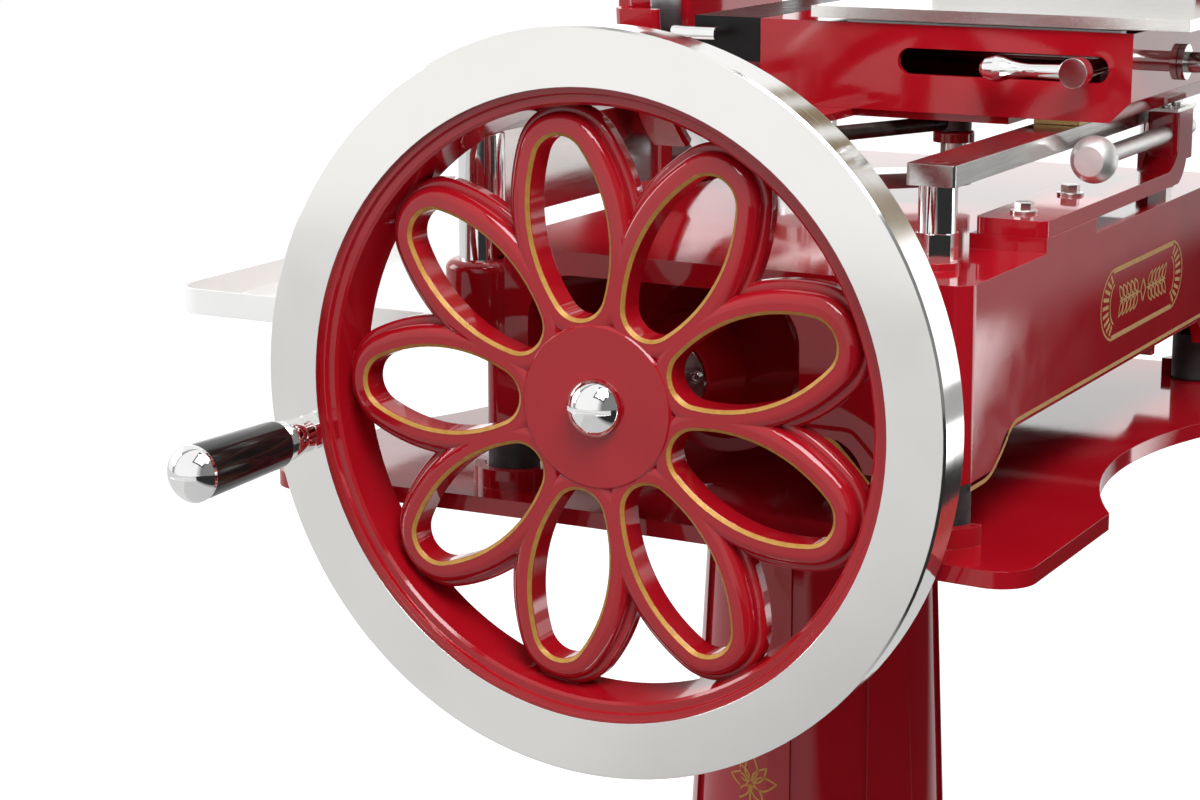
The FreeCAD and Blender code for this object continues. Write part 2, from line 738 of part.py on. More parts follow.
def base_casting():
    """The machine's body: an open-bottomed box on four legs, a bay for the shaft bearing,
    bearing walls, bosses for the posts and a pad for the regulator's bracket."""
    wall, end = S.base_wall, base_end
    front, back = -S.base_front, S.base_back
    shell = ease("casting_body", block("casting_block", (-end, front, leg_under),
                                       (end, back, casting_top)), S.base_corner, upright)
    hollow = block("casting_hollow", (wall - end, front + wall, leg_under - 1),
                   (end - wall, back - wall, casting_top - S.base_roof))
    leg, width = S.leg_length, S.leg_width
    arches = [
        arch("side_arch_back", leg - end, end - leg, "XZ_Plane", back - wall * 2, back + 1),
        arch("side_arch_front", leg - end, end - leg, "XZ_Plane", front - 1, front + wall * 2),
        arch("end_arch", front + width / 2, back - width, "YZ_Plane", -end - 1, wall * 2 - end),
        arch("bay_arch", front + width / 2, back - width, "YZ_Plane", end - wall * 2, end + 1),
    ]
    bay = ease("bay", block("bay_block", (bay_wall, -S.niche_front, leg_under - 1),
                            (end + 1, S.niche_back, deck + S.niche_top)), S.niche_corner,
               lambda edge: edge.BoundBox.XLength > 50 and edge.BoundBox.ZMin > float(casting_top) - 40)
    body = cut("casting_shell", shell, [hollow])
    lining_top = casting_top - S.base_roof
    lining = block("bay_lining", (bay_wall - wall, -S.niche_front - wall, deck + S.arch_height),
                   (end - 1, S.niche_back + wall, lining_top))
    mid_wall = block("mid_wall", (mid_wall_x, front + 1, deck + 56),
                     (mid_wall_x + S.base_wall, back - 1, lining_top + 1))
    bosses = []
    for x in both(S.front_post_x):
        boss = cylinder("post_boss_blank", S.boss_radius, S.boss_height,
                        (x, post_y, deck + S.boss_top - S.boss_height))
        bosses.append(ease("post_boss", boss, S.boss_round,
                           circle_at("Z", deck + S.boss_top)))
    for x in both(S.back_post_x):
        bosses.append(cylinder("rail_boss", S.hex_radius + 1.5, 6,
                               (x, S.back_rail_y, casting_top - 1)))
    pad = block("bracket_pad", (S.pad_start, S.base_back - S.bracket_width - 8, casting_top - 1),
                (S.pad_end, back, casting_top + S.pad_height))
    crank_boss = cylinder("crank_boss", S.crank_shaft_radius + 12, 36,
                          (S.crank_x, 0, casting_top - 32))
    cross_boss = cylinder("cross_boss", S.shaft_radius + 10, 30,
                          (S.knife_x, front - 10, shaft_z), "Y")
    solid = fuse("casting_joined", [cut("casting_arched", body, arches), lining,
                                    mid_wall] + bosses + [pad, crank_boss, cross_boss])
    bell = revolved("bearing_bell", [
        (0, -wall), (S.bell_root + 10, -wall), (S.bell_root + 10, 0), (S.bell_root, 0),
        (S.bell_radius + 12, S.bell_length * 0.55), (S.bell_radius, S.bell_length - 3),
        (S.bell_radius - 3, S.bell_length), (0, S.bell_length),
    ], (bay_wall, 0, shaft_z), "X", arcs={3: -60})
    carved = cut("casting_bay", solid, [bay])
    with_bell = fuse("casting_with_bell", [carved, bell])
    bores = [
        cylinder("main_bore", S.shaft_radius + 4, bay_wall + S.bell_length - mid_wall_x + 2,
                 (mid_wall_x - 1, 0, shaft_z), "X"),
        cylinder("crank_bore", S.crank_shaft_radius + 3, 80, (S.crank_x, 0, casting_top - 60)),
        cylinder("cross_bore", S.shaft_radius + 3, 90, (S.knife_x, front - 40, shaft_z), "Y"),
    ]
    for x in both(S.front_post_x):
        bores.append(cylinder("post_thread", S.front_post_radius - 6, 30,
                              (x, post_y, deck + S.boss_top - 30)))
        bores.append(cylinder("post_clear", S.boss_radius, 40, (x, post_y, deck + S.boss_top)))
    for x in both(S.back_post_x):
        bores.append(cylinder("rail_thread", S.back_post_radius - 5, 25,
                              (x, S.back_rail_y, casting_top - 20)))
    return node("base_casting", cut("casting_bored", with_bell, bores))


def bearing_pieces():
    """Bushes of the three shafts and the screwed cap of the shaft bearing."""
    gap = S.shaft_fit
    nose = bay_wall + S.bell_length
    bushes = [
        tube("nose_bush", S.shaft_radius + 4, S.shaft_radius + gap, S.bell_length + S.base_wall,
             (bay_wall - S.base_wall, 0, shaft_z), "X"),
        tube("mid_bush", S.shaft_radius + 4, S.shaft_radius + gap, S.base_wall,
             (mid_wall_x, 0, shaft_z), "X"),
        tube("crank_bush", S.crank_shaft_radius + 3, S.crank_shaft_radius + gap, 36,
             (S.crank_x, 0, casting_top - 32)),
        tube("cross_bush", S.shaft_radius + 3, S.shaft_radius + gap, 30,
             (S.knife_x, -S.base_front - 10, shaft_z), "Y"),
    ]
    node("shaft_bushes", group("shaft_bush_set", bushes))
    node("bearing_cap", tube("cap_ring", S.bell_radius - 1, S.shaft_radius + 1, 4,
                             (nose, 0, shaft_z), "X"))
    screws = []
    for number in range(4):
        angle = 8 + 90 * number
        reach = S.bell_radius - 7
        spot = (nose + 4, reach * cosine(angle), shaft_z + reach * sine(angle))
        screws.append(cut("cap_screw", cylinder("cap_screw_head", 4, 3, spot, "X"),
                          [prism("cap_screw_socket", 6, 2, 3, (spot[0] + 1, spot[1], spot[2]),
                                 "X")]))
    SCREWS.extend(screws)


# --- rails -----------------------------------------------------------------------------------
def rails():
    """Two flat bars on polished posts; the carriage runs on them."""
    top = deck + S.back_rail_bottom
    foot = casting_top + 5
    posts = []
    screws = []
    for x in both(S.back_post_x):
        posts.append(fuse("back_post", [
            prism("back_hexagon", 6, S.hex_radius, S.hex_height, (x, S.back_rail_y, foot)),
            cylinder("back_stem", S.back_post_radius, top - foot - S.hex_height,
                     (x, S.back_rail_y, foot + S.hex_height)),
            cylinder("back_stud", S.back_post_radius - 5, 22, (x, S.back_rail_y, foot - 22)),
        ]))
        screws.append(cone("back_screw", 3, 7, 4,
                           (x, S.back_rail_y, top + S.back_rail_thickness - 4)))
    node("rear_rail_posts", group("rear_posts", posts))
    half = S.back_rail_half
    width = S.back_rail_width / 2
    bar = ease("rear_bar", block("rear_bar_blank", (-half, S.back_rail_y - width, top),
                                 (half, S.back_rail_y + width, top + S.back_rail_thickness)),
               3, upright)
    seats = [cone("back_seat", 3, 7, 4, (x, S.back_rail_y, top + S.back_rail_thickness - 4))
             for x in both(S.back_post_x)]
    node("rear_rail", cut("rear_bar_sunk", bar, seats))

    foot = deck + S.boss_top
    top = deck + S.front_rail_bottom
    posts = []
    for x in both(S.front_post_x):
        posts.append(fuse("front_post", [
            bevel("front_stem", cylinder("front_stem_blank", S.front_post_radius, top - foot,
                                         (x, post_y, foot)), 2, circle_at("Z", top)),
            cylinder("front_stud", S.front_post_radius - 6, 30, (x, post_y, foot - 30)),
        ]))
        screws.append(cone("front_screw", 3, 6, 4, (x, post_y, top + S.front_rail_thickness - 4)))
    node("front_rail_posts", group("front_posts", posts))
    half = S.front_rail_half
    width = S.front_rail_width / 2
    bar = ease("front_bar", block("front_bar_blank", (-half, -S.base_front - width, top),
                                  (half, width - S.base_front, top + S.front_rail_thickness)),
               3, upright)
    seats = [cone("front_seat", 3, 6, 4, (x, post_y, top + S.front_rail_thickness - 4))
             for x in both(S.front_post_x)]
    node("front_rail", cut("front_bar_sunk", bar, seats))
    SCREWS.extend(screws)


# --- regulator -------------------------------------------------------------------------------
def regulator():
    """The bracket on the casting's pad, its block and the ball-ended stop rod."""
    low = casting_top + S.pad_height
    foot_top = low + S.bracket_thickness
    y, half = S.bracket_y, S.bracket_width / 2
    far = S.block_x - S.block_length
    block_bottom, block_top = deck + S.block_bottom, deck + S.block_top
    side_low, side_high = S.regulator_y - 15, S.regulator_y + 11
    foot = ease("bracket_foot", block("bracket_foot_blank", (S.block_x + 50, y - half, low),
                                      (S.pad_end, side_high, foot_top)), 8, upright)
    arm = extruded("bracket_arm", [
        (S.block_x + 62, low), (S.block_x + 62, foot_top), (S.block_x + 22, foot_top),
        (S.block_x - 6, block_bottom + 12), (S.block_x - 30, block_bottom + 12),
        (S.block_x - 8, low),
    ], side_low, side_high, "XZ_Plane", arcs={2: -34, 4: 32})
    body = ease("bracket_block", block("bracket_block_blank", (far, side_low, block_bottom),
                                       (S.block_x, side_high, block_top)), 5, upright)
    holes = [cylinder("rod_hole", S.regulator_radius + 0.1, S.block_length + 2,
                      (far - 1, S.regulator_y, deck + S.regulator_height), "X")]
    bolts = []
    for x in (S.pad_end - 35, S.pad_start - 26):
        holes.append(cylinder("bracket_hole", 4.4, 20, (x, y, low - 1)))
        bolts.append(fuse("bracket_bolt", [
            cylinder("bracket_washer", 10, 2, (x, y, foot_top)),
            prism("bracket_head", 6, 7.2, 6, (x, y, foot_top + 2)),
            cylinder("bracket_shank", 4, S.bracket_thickness, (x, y, low)),
        ]))
    node("regulator_bracket", cut("bracket_drilled",
                                  fuse("bracket_joined", [foot, arm, body]), holes))
    node("bracket_bolts", group("bracket_bolt_set", bolts))
    plate = block("regulator_cover", (far - 2, side_low, block_top),
                  (S.block_x + 2, side_high, block_top + 3))
    heads = [cylinder("cover_screw", 4, 1.5, (x, S.regulator_y - 2, block_top + 3))
             for x in (far + 10, S.block_x - 10)]
    node("regulator_plate", fuse("regulator_cover_set", [plate] + heads))
    z = deck + S.regulator_height
    stem = cylinder("stop_stem", S.regulator_radius, S.ball_x - far + 20,
                    (far - 20, S.regulator_y, z), "X")
    grip = ball("stop_ball", S.ball_radius, (S.ball_x, S.regulator_y, z))
    face = block("stop_face", (S.ball_x + S.ball_radius * 0.78, S.regulator_y - 30, z - 30),
                 (S.ball_x + 40, S.regulator_y + 30, z + 30))
    node("regulator_rod", fuse("stop_rod", [stem, cut("stop_knob", grip, [face])]))


# --- flywheel --------------------------------------------------------------------------------
def petal_form(name, angle, grown, low, high):
    """A petal's oval between two levels along the shaft, grown by a distance all round.

    The oval has four arcs: two round ends and two long sides that run into them smoothly.
    """
    ends = S.petal_end_radius
    run = petal_half_length - ends
    sides = (run * run + petal_half_width * petal_half_width - ends * ends) / (
        (petal_half_width - ends) * 2)
    along = run / (sides - ends) * (ends + grown)
    aside = (sides - petal_half_width) / (sides - ends) * (ends + grown)
    tip, root = petal_middle + run + along, petal_middle - run - along
    body = extruded(name, [(tip, aside), (root, aside), (root, -aside), (tip, -aside)],
                    low, high, "YZ_Plane", arcs={0: sides + grown, 1: ends + grown,
                                                 2: sides + grown, 3: ends + grown})
    return swing(place(body, (low, 0, shaft_z)), angle, VECTOR(1, 0, 0))


def flywheel():
    """The polished rim, and the painted spider: a ring, a hub and nine hollow petals."""
    face, back = S.wheel_face, wheel_back
    inner = S.wheel_radius - S.rim_width
    rim = revolved("rim_band", [
        (inner, 0), (S.wheel_radius - S.rim_back_bevel, 0),
        (S.wheel_radius - 1, S.rim_back_bevel), (S.wheel_radius - 1, S.rim_depth * 0.62),
        (S.wheel_radius, S.rim_depth * 0.62 + 1), (S.wheel_radius, S.rim_depth - S.rim_bevel),
        (S.wheel_radius - S.rim_bevel, S.rim_depth), (inner, S.rim_depth),
    ], (back, 0, shaft_z), "X")
    angle = S.handle_angle
    handle = (handle_circle * cosine(angle), shaft_z + handle_circle * sine(angle))
    node("flywheel_rim", cut("rim_drilled", rim, [
        cylinder("handle_thread", S.spindle_radius, S.rim_depth, (back,) + handle, "X")]))

    ring_face = face - S.ring_step
    ring = revolved("spider_ring", [
        (inner - S.ring_width - S.ring_taper, 0), (inner, 0), (inner, S.ring_depth),
        (inner - S.ring_width * 0.35, S.ring_depth), (inner - S.ring_width * 0.45, S.ring_depth - 3),
        (inner - S.ring_width + 2, S.ring_depth - 3), (inner - S.ring_width, S.ring_depth - 5),
    ], (ring_face - S.ring_depth, 0, shaft_z), "X")
    hub_face = face - S.hub_step
    hub = revolved("spider_hub", [
        (S.shaft_radius, 0), (S.hub_radius * 0.62, 0), (S.hub_radius, S.hub_depth * 0.4),
        (S.hub_radius, S.hub_depth - 1.5), (S.hub_radius - 1.5, S.hub_depth),
        (S.shaft_radius, S.hub_depth),
    ], (hub_face - S.hub_depth, 0, shaft_z), "X")
    high = face - S.petal_step
    low = high - S.petal_depth
    slope = S.petal_flare
    bars = []
    openings = []
    for number in range(int(float(S.petal_count))):
        angle = 180 + number * (360 / float(S.petal_count))
        for name, wall, level, rounding in (("petal", S.petal_wall, high, S.petal_round),
                                            ("skirt", S.skirt_wall, low + S.skirt_depth,
                                             S.skirt_round)):
            blank = petal_form(name + "_blank", angle, wall, low, level)
            bars.append(ease(name, blank, rounding,
                             lambda edge: edge.BoundBox.XMin > float(level) - 0.01))
        openings.append(petal_form("petal_opening", angle, 0, low - 12, high + 12))
        mouth = petal_form("petal_mouth", angle, slope, high - slope, high + 12)
        openings.append(bevel("petal_flare", mouth, slope - 0.01,
                              lambda edge: edge.BoundBox.XMax < float(high - slope) + 0.01))
    spider = cut("spider", fuse("spider_joined", bars + [ring, hub]), openings)
    node("flywheel_spider", spider)
    dome = revolved("nut_dome", [
        (0, 0), (S.nut_radius - 2, 0), (S.nut_radius, 2), (S.nut_radius, 5), (0, S.nut_height),
    ], (hub_face, 0, shaft_z), "X", arcs={3: S.nut_radius * 1.25})
    slot = block("nut_slot", (hub_face + 9, -S.nut_radius - 1, shaft_z - 1.6),
                 (hub_face + 30, S.nut_radius + 1, shaft_z + 1.6))
    slot.Placement.Rotation = FreeCAD.Rotation()
    node("hub_nut", cut("nut_slotted", dome, [slot]))
    far = S.knife_x + S.miter_radius - S.miter_face
    length = hub_face - far
    node("main_shaft", cylinder("main_bar", S.shaft_radius, length, (far, 0, shaft_z), "X"))
    return handle


def handle_pieces(handle):
    """The turning grip on its fixed spindle."""
    y, z = handle
    face = S.wheel_face
    grip_start = face + S.neck_length + S.slide_gap
    grip_end = grip_start + S.grip_length
    node("handle_spindle", fuse("spindle", [
        cylinder("spindle_pin", S.spindle_radius, grip_end - wheel_back - 4, (wheel_back, y, z),
                 "X"),
        prism("spindle_nut", 6, S.neck_radius + 1, 7, (face, y, z), "X"),
        cone("spindle_neck", S.neck_radius, S.neck_radius - 2, S.neck_length - 7,
             (face + 7, y, z), "X"),
    ]))
    grip = revolved("grip_body", [
        (S.spindle_radius + S.shaft_fit, 0), (S.grip_neck, 0), (S.grip_neck + 1.5, 4),
        (S.grip_radius, S.grip_length - 12), (S.grip_radius, S.grip_length),
        (S.spindle_radius + S.shaft_fit, S.grip_length),
    ], (grip_start, y, z), "X", arcs={2: 190})
    node("handle_grip", grip)
    cap = revolved("cap_dome", [
        (0, 0), (S.grip_radius, 0), (S.grip_radius, 3), (0, S.cap_height),
    ], (grip_end, y, z), "X", arcs={2: S.grip_radius * 1.2})
    slot = block("cap_slot", (grip_end + S.cap_height - 3, y - S.grip_radius, z - 1.4),
                 (grip_end + S.cap_height + 2, y + S.grip_radius, z + 1.4))
    node("grip_cap", cut("cap_slotted", cap, [slot]))


# --- bevel gears and crank -------------------------------------------------------------------
def miter_gear(name, at, turn, phase, bore):
    """A 45 degree bevel gear. Its large end is at the placement and its teeth point along +Z,
    so two of them with shafts that cross at the pitch radius mesh face to face."""
    teeth = int(float(S.miter_teeth))
    radius, face, height = float(S.miter_radius), float(S.miter_face), float(S.tooth_height)
    slope = math.sqrt(0.5)
    root = radius - height * slope * 0.62
    root_cone = Part.makeCone(root, root - face, face)
    hub = Part.makeCylinder(radius * 0.62, face * 0.45, VECTOR(0, 0, -face * 0.45))
    backing = Part.makeCone(radius * 0.78, root, face * 0.2, VECTOR(0, 0, -face * 0.2))
    shape = root_cone.fuse([hub, backing])
    pitch_angle = 360.0 / teeth
    reach = radius - face

    def section(scale, level):
        """Four corners of a tooth on the plane at one level."""
        out = radius * scale
        half = math.radians(pitch_angle * 0.17)
        tip = math.radians(pitch_angle * 0.09)
        low, high = out - height * 1.3 * scale, out + height * 0.42 * scale
        corners = [VECTOR(low, -low * math.tan(half), level),
                   VECTOR(high, -high * math.tan(tip), level),
                   VECTOR(high, high * math.tan(tip), level),
                   VECTOR(low, low * math.tan(half), level)]
        return Part.makePolygon(corners + corners[:1])

    tooth = Part.makeLoft([section(1.0, 0.0), section(reach / radius, face)], True, True)
    solids = []
    for number in range(teeth):
        copy = tooth.copy()
        copy.rotate(VECTOR(), VECTOR(0, 0, 1), (number + phase) * pitch_angle)
        solids.append(copy)
    shape = shape.fuse(solids)
    shape = shape.cut(Part.makeCylinder(float(bore), 60, VECTOR(0, 0, -30))).removeSplitter()
    item = doc.addObject("Part::Feature", name)
    item.Shape = shape
    return place(item, at, turn)


def crank_drive():
    """Bevel gears, the crank above the casting and the connecting rod to the carriage."""
    radius = S.miter_radius
    bore, crank_bore = S.shaft_radius, S.crank_shaft_radius
    x = S.crank_x
    node("drive_gears", group("main_gears", [
        miter_gear("crank_pinion", (x + radius, 0, shaft_z), "-X", 0, bore),
        miter_gear("knife_pinion", (S.knife_x + radius, 0, shaft_z), "-X", 0, bore),
    ]))
    node("crank_gear", miter_gear("crank_wheel", (x, 0, shaft_z + radius), "-Z", 0.5, crank_bore))
    arm_low = deck + S.crank_arm_bottom
    cap_low = deck + S.crank_cap_top - S.crank_cap_height
    pin = (x + S.crank_radius * cosine(S.crank_angle), S.crank_radius * sine(S.crank_angle))
    gear_low = shaft_z + radius - S.miter_face
    shaft = cylinder("crank_shaft", crank_bore, arm_low + S.crank_arm_thickness - gear_low,
                     (x, 0, gear_low))
    web = extruded("crank_web", [
        (0, -22), (S.crank_radius, -15), (S.crank_radius, 15), (0, 22),
    ], 0, S.crank_arm_thickness, arcs={1: round_end(15), 3: round_end(22)})
    swing(place(web, (x, 0, arm_low)), S.crank_angle)
    node("crank_arm", fuse("crank_joined", [
        shaft, web, cylinder("crank_disc", 40, S.crank_arm_thickness, (x, 0, arm_low)),
        cylinder("crank_pin", S.crank_pin_radius, cap_low - arm_low, pin + (arm_low,))]))
    cap = cylinder("crank_cap_disc", S.crank_cap_radius, S.crank_cap_height, pin + (cap_low,))
    node("crank_cap", ease("crank_cap_round", cap, 2, circle_at("Z", deck + S.crank_cap_top)))
    return pin


def connecting_rod(pin):
    """A round rod with an eye at each end; the far eye rides over the crank pin."""
    low = deck + S.crank_cap_top + 2 * S.slide_gap
    x, y = pin
    drop = y - S.wrist_y
    run = math.sqrt(float(S.rod_length) ** 2 - float(drop) ** 2)
    reach = Size("sqrt(%s * %s - %s * %s)" % (S.rod_length.formula, S.rod_length.formula,
                                              drop.formula, drop.formula), run)
    wrist = (x + reach, S.wrist_y)
    angle = math.degrees(math.atan2(float(drop), -run))
    bar = cylinder("rod_bar", S.rod_radius, S.rod_length, wrist + (low + S.rod_radius,))
    bar.Placement.Rotation = FreeCAD.Rotation(VECTOR(0, 0, 1), angle) * TURNS["X"]
    eyes = [cylinder("wrist_eye", S.rod_eye, S.rod_thickness, wrist + (low,)),
            cylinder("pin_eye", S.rod_eye, S.rod_thickness, pin + (low,))]
    bores = [cylinder("wrist_bore", S.wrist_radius + S.shaft_fit, 40, wrist + (low - 20,)),
             cylinder("pin_bore", S.wrist_radius, 40, pin + (low - 20,))]
    node("connecting_rod", cut("rod_bored", fuse("rod_joined", [bar] + eyes), bores))
    return wrist, low


# --- knife -----------------------------------------------------------------------------------
def knife_drive():
    """Cross shaft, chain, knife shaft and knife, in the stand on the operator's side."""
    x, radius = S.knife_x, S.miter_radius
    sprocket_y = stand_front + S.stand_cover + 10
    shaft_end = sprocket_y - 4
    gear = miter_gear("cross_gear_body", (x, -radius, shaft_z), "Y", 0.5, S.shaft_radius)
    node("cross_gear", gear)
    low_sprocket = sprocket("low_sprocket", S.lower_sprocket, 20, (x, sprocket_y, shaft_z))
    node("cross_shaft", fuse("cross_joined", [
        cylinder("cross_bar", S.shaft_radius, -shaft_end - radius + S.miter_face,
                 (x, shaft_end, shaft_z), "Y"), low_sprocket]))
    high_sprocket = sprocket("high_sprocket", S.upper_sprocket, 10, (x, sprocket_y, knife_z))
    flange_depth = S.cover_gap + 1.5
    node("knife_shaft", fuse("knife_shaft_joined", [
        cylinder("knife_bar", S.knife_shaft_radius, knife_face - shaft_end,
                 (x, shaft_end, knife_z), "Y"),
        cylinder("knife_flange", S.knife_hub, flange_depth,
                 (x, knife_face - flange_depth, knife_z), "Y"),
        high_sprocket]))
    r, t, edge = S.knife_radius, S.knife_thickness, S.knife_bevel
    blade = revolved("blade", [
        (0, 0), (r - edge, 0), (r, t - 0.8), (r, t), (0, t),
    ], (x, knife_face, knife_z), "Y")
    node("knife", blade)
    plate = revolved("knife_plate_disc", [
        (0, 0), (S.hub_plate, 0), (S.hub_plate, S.hub_plate_depth - 2),
        (S.hub_plate - 2, S.hub_plate_depth), (0, S.hub_plate_depth),
    ], (x, knife_back, knife_z), "Y")
    heads = []
    for number in range(4):
        angle = 45 + 90 * number
        spot = (x + S.hub_plate * 0.7 * cosine(angle), knife_back + S.hub_plate_depth,
                knife_z + S.hub_plate * 0.7 * sine(angle))
        heads.append(cylinder("plate_screw", 4.5, 1.5, spot, "Y"))
    node("knife_plate", fuse("knife_plate_joined", [plate] + heads))

    chain_y = sprocket_y + (S.sprocket_thickness - S.chain_width) / 2
    node("drive_chain", chain("chain_loop", chain_y))


def sprocket(name, radius, teeth, at):
    """A toothed wheel along Y."""
    r = float(radius) - float(S.chain_height) / 2 - 0.4
    points = []
    for number in range(teeth):
        for part, reach in ((0.0, r - 2.4), (0.32, r - 2.4), (0.52, r), (0.80, r)):
            angle = 2 * math.pi * (number + part) / teeth
            points.append(VECTOR(reach * math.cos(angle), reach * math.sin(angle), 0))
    disc = Part.Face(Part.makePolygon(points + points[:1])).extrude(
        VECTOR(0, 0, float(S.sprocket_thickness)))
    item = doc.addObject("Part::Feature", name)
    item.Shape = disc
    return place(item, at, "Y")


def chain(name, low_y):
    """The closed loop of the chain round both sprockets, as one band."""
    x = S.knife_x
    big, small = float(S.lower_sprocket), float(S.upper_sprocket)
    rise = float(S.knife_height) - float(S.shaft_height)
    lean = math.asin((big - small) / rise)

    def loop(offset):
        wires = []
        sides = []
        for way in (1, -1):
            out = VECTOR(way * math.cos(lean), 0, math.sin(lean))
            sides.append((out * (big + offset), VECTOR(0, 0, rise) + out * (small + offset)))
        (right_low, right_high), (left_low, left_high) = sides
        top = VECTOR(0, 0, rise + small + offset)
        bottom = VECTOR(0, 0, -big - offset)
        wires.append(Part.makeLine(right_low, right_high))
        wires.append(Part.Arc(right_high, top, left_high).toShape())
        wires.append(Part.makeLine(left_high, left_low))
        wires.append(Part.Arc(left_low, bottom, right_low).toShape())
        return Part.Wire(wires)

    half = float(S.chain_height) / 2
    across = VECTOR(0, float(S.chain_width), 0)
    outer, inner = [Part.Face(loop(offset)).extrude(across) for offset in (half, -half)]
    item = doc.addObject("Part::Feature", name)
    item.Shape = outer.cut(inner)
    return place(item, (x, low_y, shaft_z))


def knife_stand():
    """The stand beside the casting, its chain cover, the cover disc and the guard ring."""
    x, half, wall = S.knife_x, S.stand_half_width, S.stand_wall
    low = deck + 30

    def outline(inset):
        return [(x - half + inset, low + inset), (x + half - inset, low + inset),
                (x + half - inset, knife_z), (x - half + inset, knife_z)]

    body = extruded("stand_body", outline(0), stand_front, stand_back, "XZ_Plane",
                    arcs={2: round_end(half)})
    room = extruded("stand_room", outline(wall), stand_front - 1, stand_back - wall, "XZ_Plane",
                    arcs={2: round_end(half - wall)})
    foot = block("stand_foot", (x - half, stand_back - 1, low),
                 (x + half, -S.base_front, casting_top - 22))
    passage = block("stand_passage", (x - half + wall, stand_back - 2, low + wall),
                    (x + half - wall, -S.base_front - wall, casting_top - 22 - wall))
    hub = cylinder("stand_hub", S.knife_shaft_radius + 14, S.cover_depth - 1,
                   (x, stand_back - 1, knife_z), "Y")
    bores = [
        cylinder("knife_bush_bore", S.knife_shaft_radius + 4, 70, (x, stand_back - 30, knife_z),
                 "Y"),
        cylinder("cross_pass", S.shaft_radius + 13, -S.base_front - stand_back + wall + 2,
                 (x, stand_back - wall - 1, shaft_z), "Y"),
    ]
    node("knife_stand", cut("stand_bored", fuse("stand_joined", [
        cut("stand_hollow", body, [room]), cut("stand_bridge", foot, [passage]), hub]), bores))
    node("chain_cover", extruded("chain_cover_plate", outline(wall + 0.4),
                                 stand_front, stand_front + S.stand_cover, "XZ_Plane",
                                 arcs={2: round_end(half - wall - 0.4)}))
    node("knife_bush", tube("knife_bush_ring", S.knife_shaft_radius + 4,
                            S.knife_shaft_radius + S.shaft_fit, S.stand_wall + S.cover_depth - 2,
                            (x, stand_back - S.stand_wall, knife_z), "Y"))
    depth = S.cover_depth
    disc = revolved("cover_dish", [
        (S.knife_shaft_radius + 14, 0), (S.cover_radius - 3, 0), (S.cover_radius, 3),
        (S.cover_radius, depth), (S.cover_radius - 4, depth), (S.cover_radius - 4, 4),
        (S.knife_shaft_radius + 14, 4),
    ], (x, stand_back, knife_z), "Y")
    inner, outer, flange = S.cover_radius + S.guard_gap, S.guard_radius, S.guard_flange
    depth = knife_back + S.guard_reach - stand_back
    ring = revolved("guard_section", [
        (inner, 0), (outer - 6, 0), (outer, 6), (outer, depth - 3), (outer - 3, depth),
        (outer - 8, depth), (outer - 8, flange), (inner, flange),
    ], (x, stand_back, knife_z), "Y")

    def gap(name, start, end):
        """A wedge that opens the ring between two angles, seen from the operator."""
        reach = outer * 1.6
        corners = [(x, knife_z)] + [(x + reach * cosine(angle), knife_z + reach * sine(angle))
                                    for angle in (start, (start + end) / 2, end)]
        return extruded(name, corners, stand_back - 5, knife_back + 20, "XZ_Plane")

    node("knife_guard", cut("guard_opened", ring, [
        gap("guard_window", S.window_start, S.window_end),
        gap("guard_under", S.under_start, S.under_end)]))
    lugs = []
    heads = []
    for angle in (84, 150, 212, -30):
        spot = (x + (inner - 1) * cosine(angle), knife_z + (inner - 1) * sine(angle))
        lugs.append(cylinder("guard_lug", 13, 5, (spot[0], stand_back - 5, spot[1]), "Y"))
        for step in (-8, 8):
            heads.append(prism("guard_screw", 6, 3.6, 3,
                               (spot[0] + step * cosine(angle), stand_back - 8,
                                spot[1] + step * sine(angle)), "Y"))
    node("knife_cover", fuse("cover_with_lugs", [disc] + lugs))
    SCREWS.extend(heads)


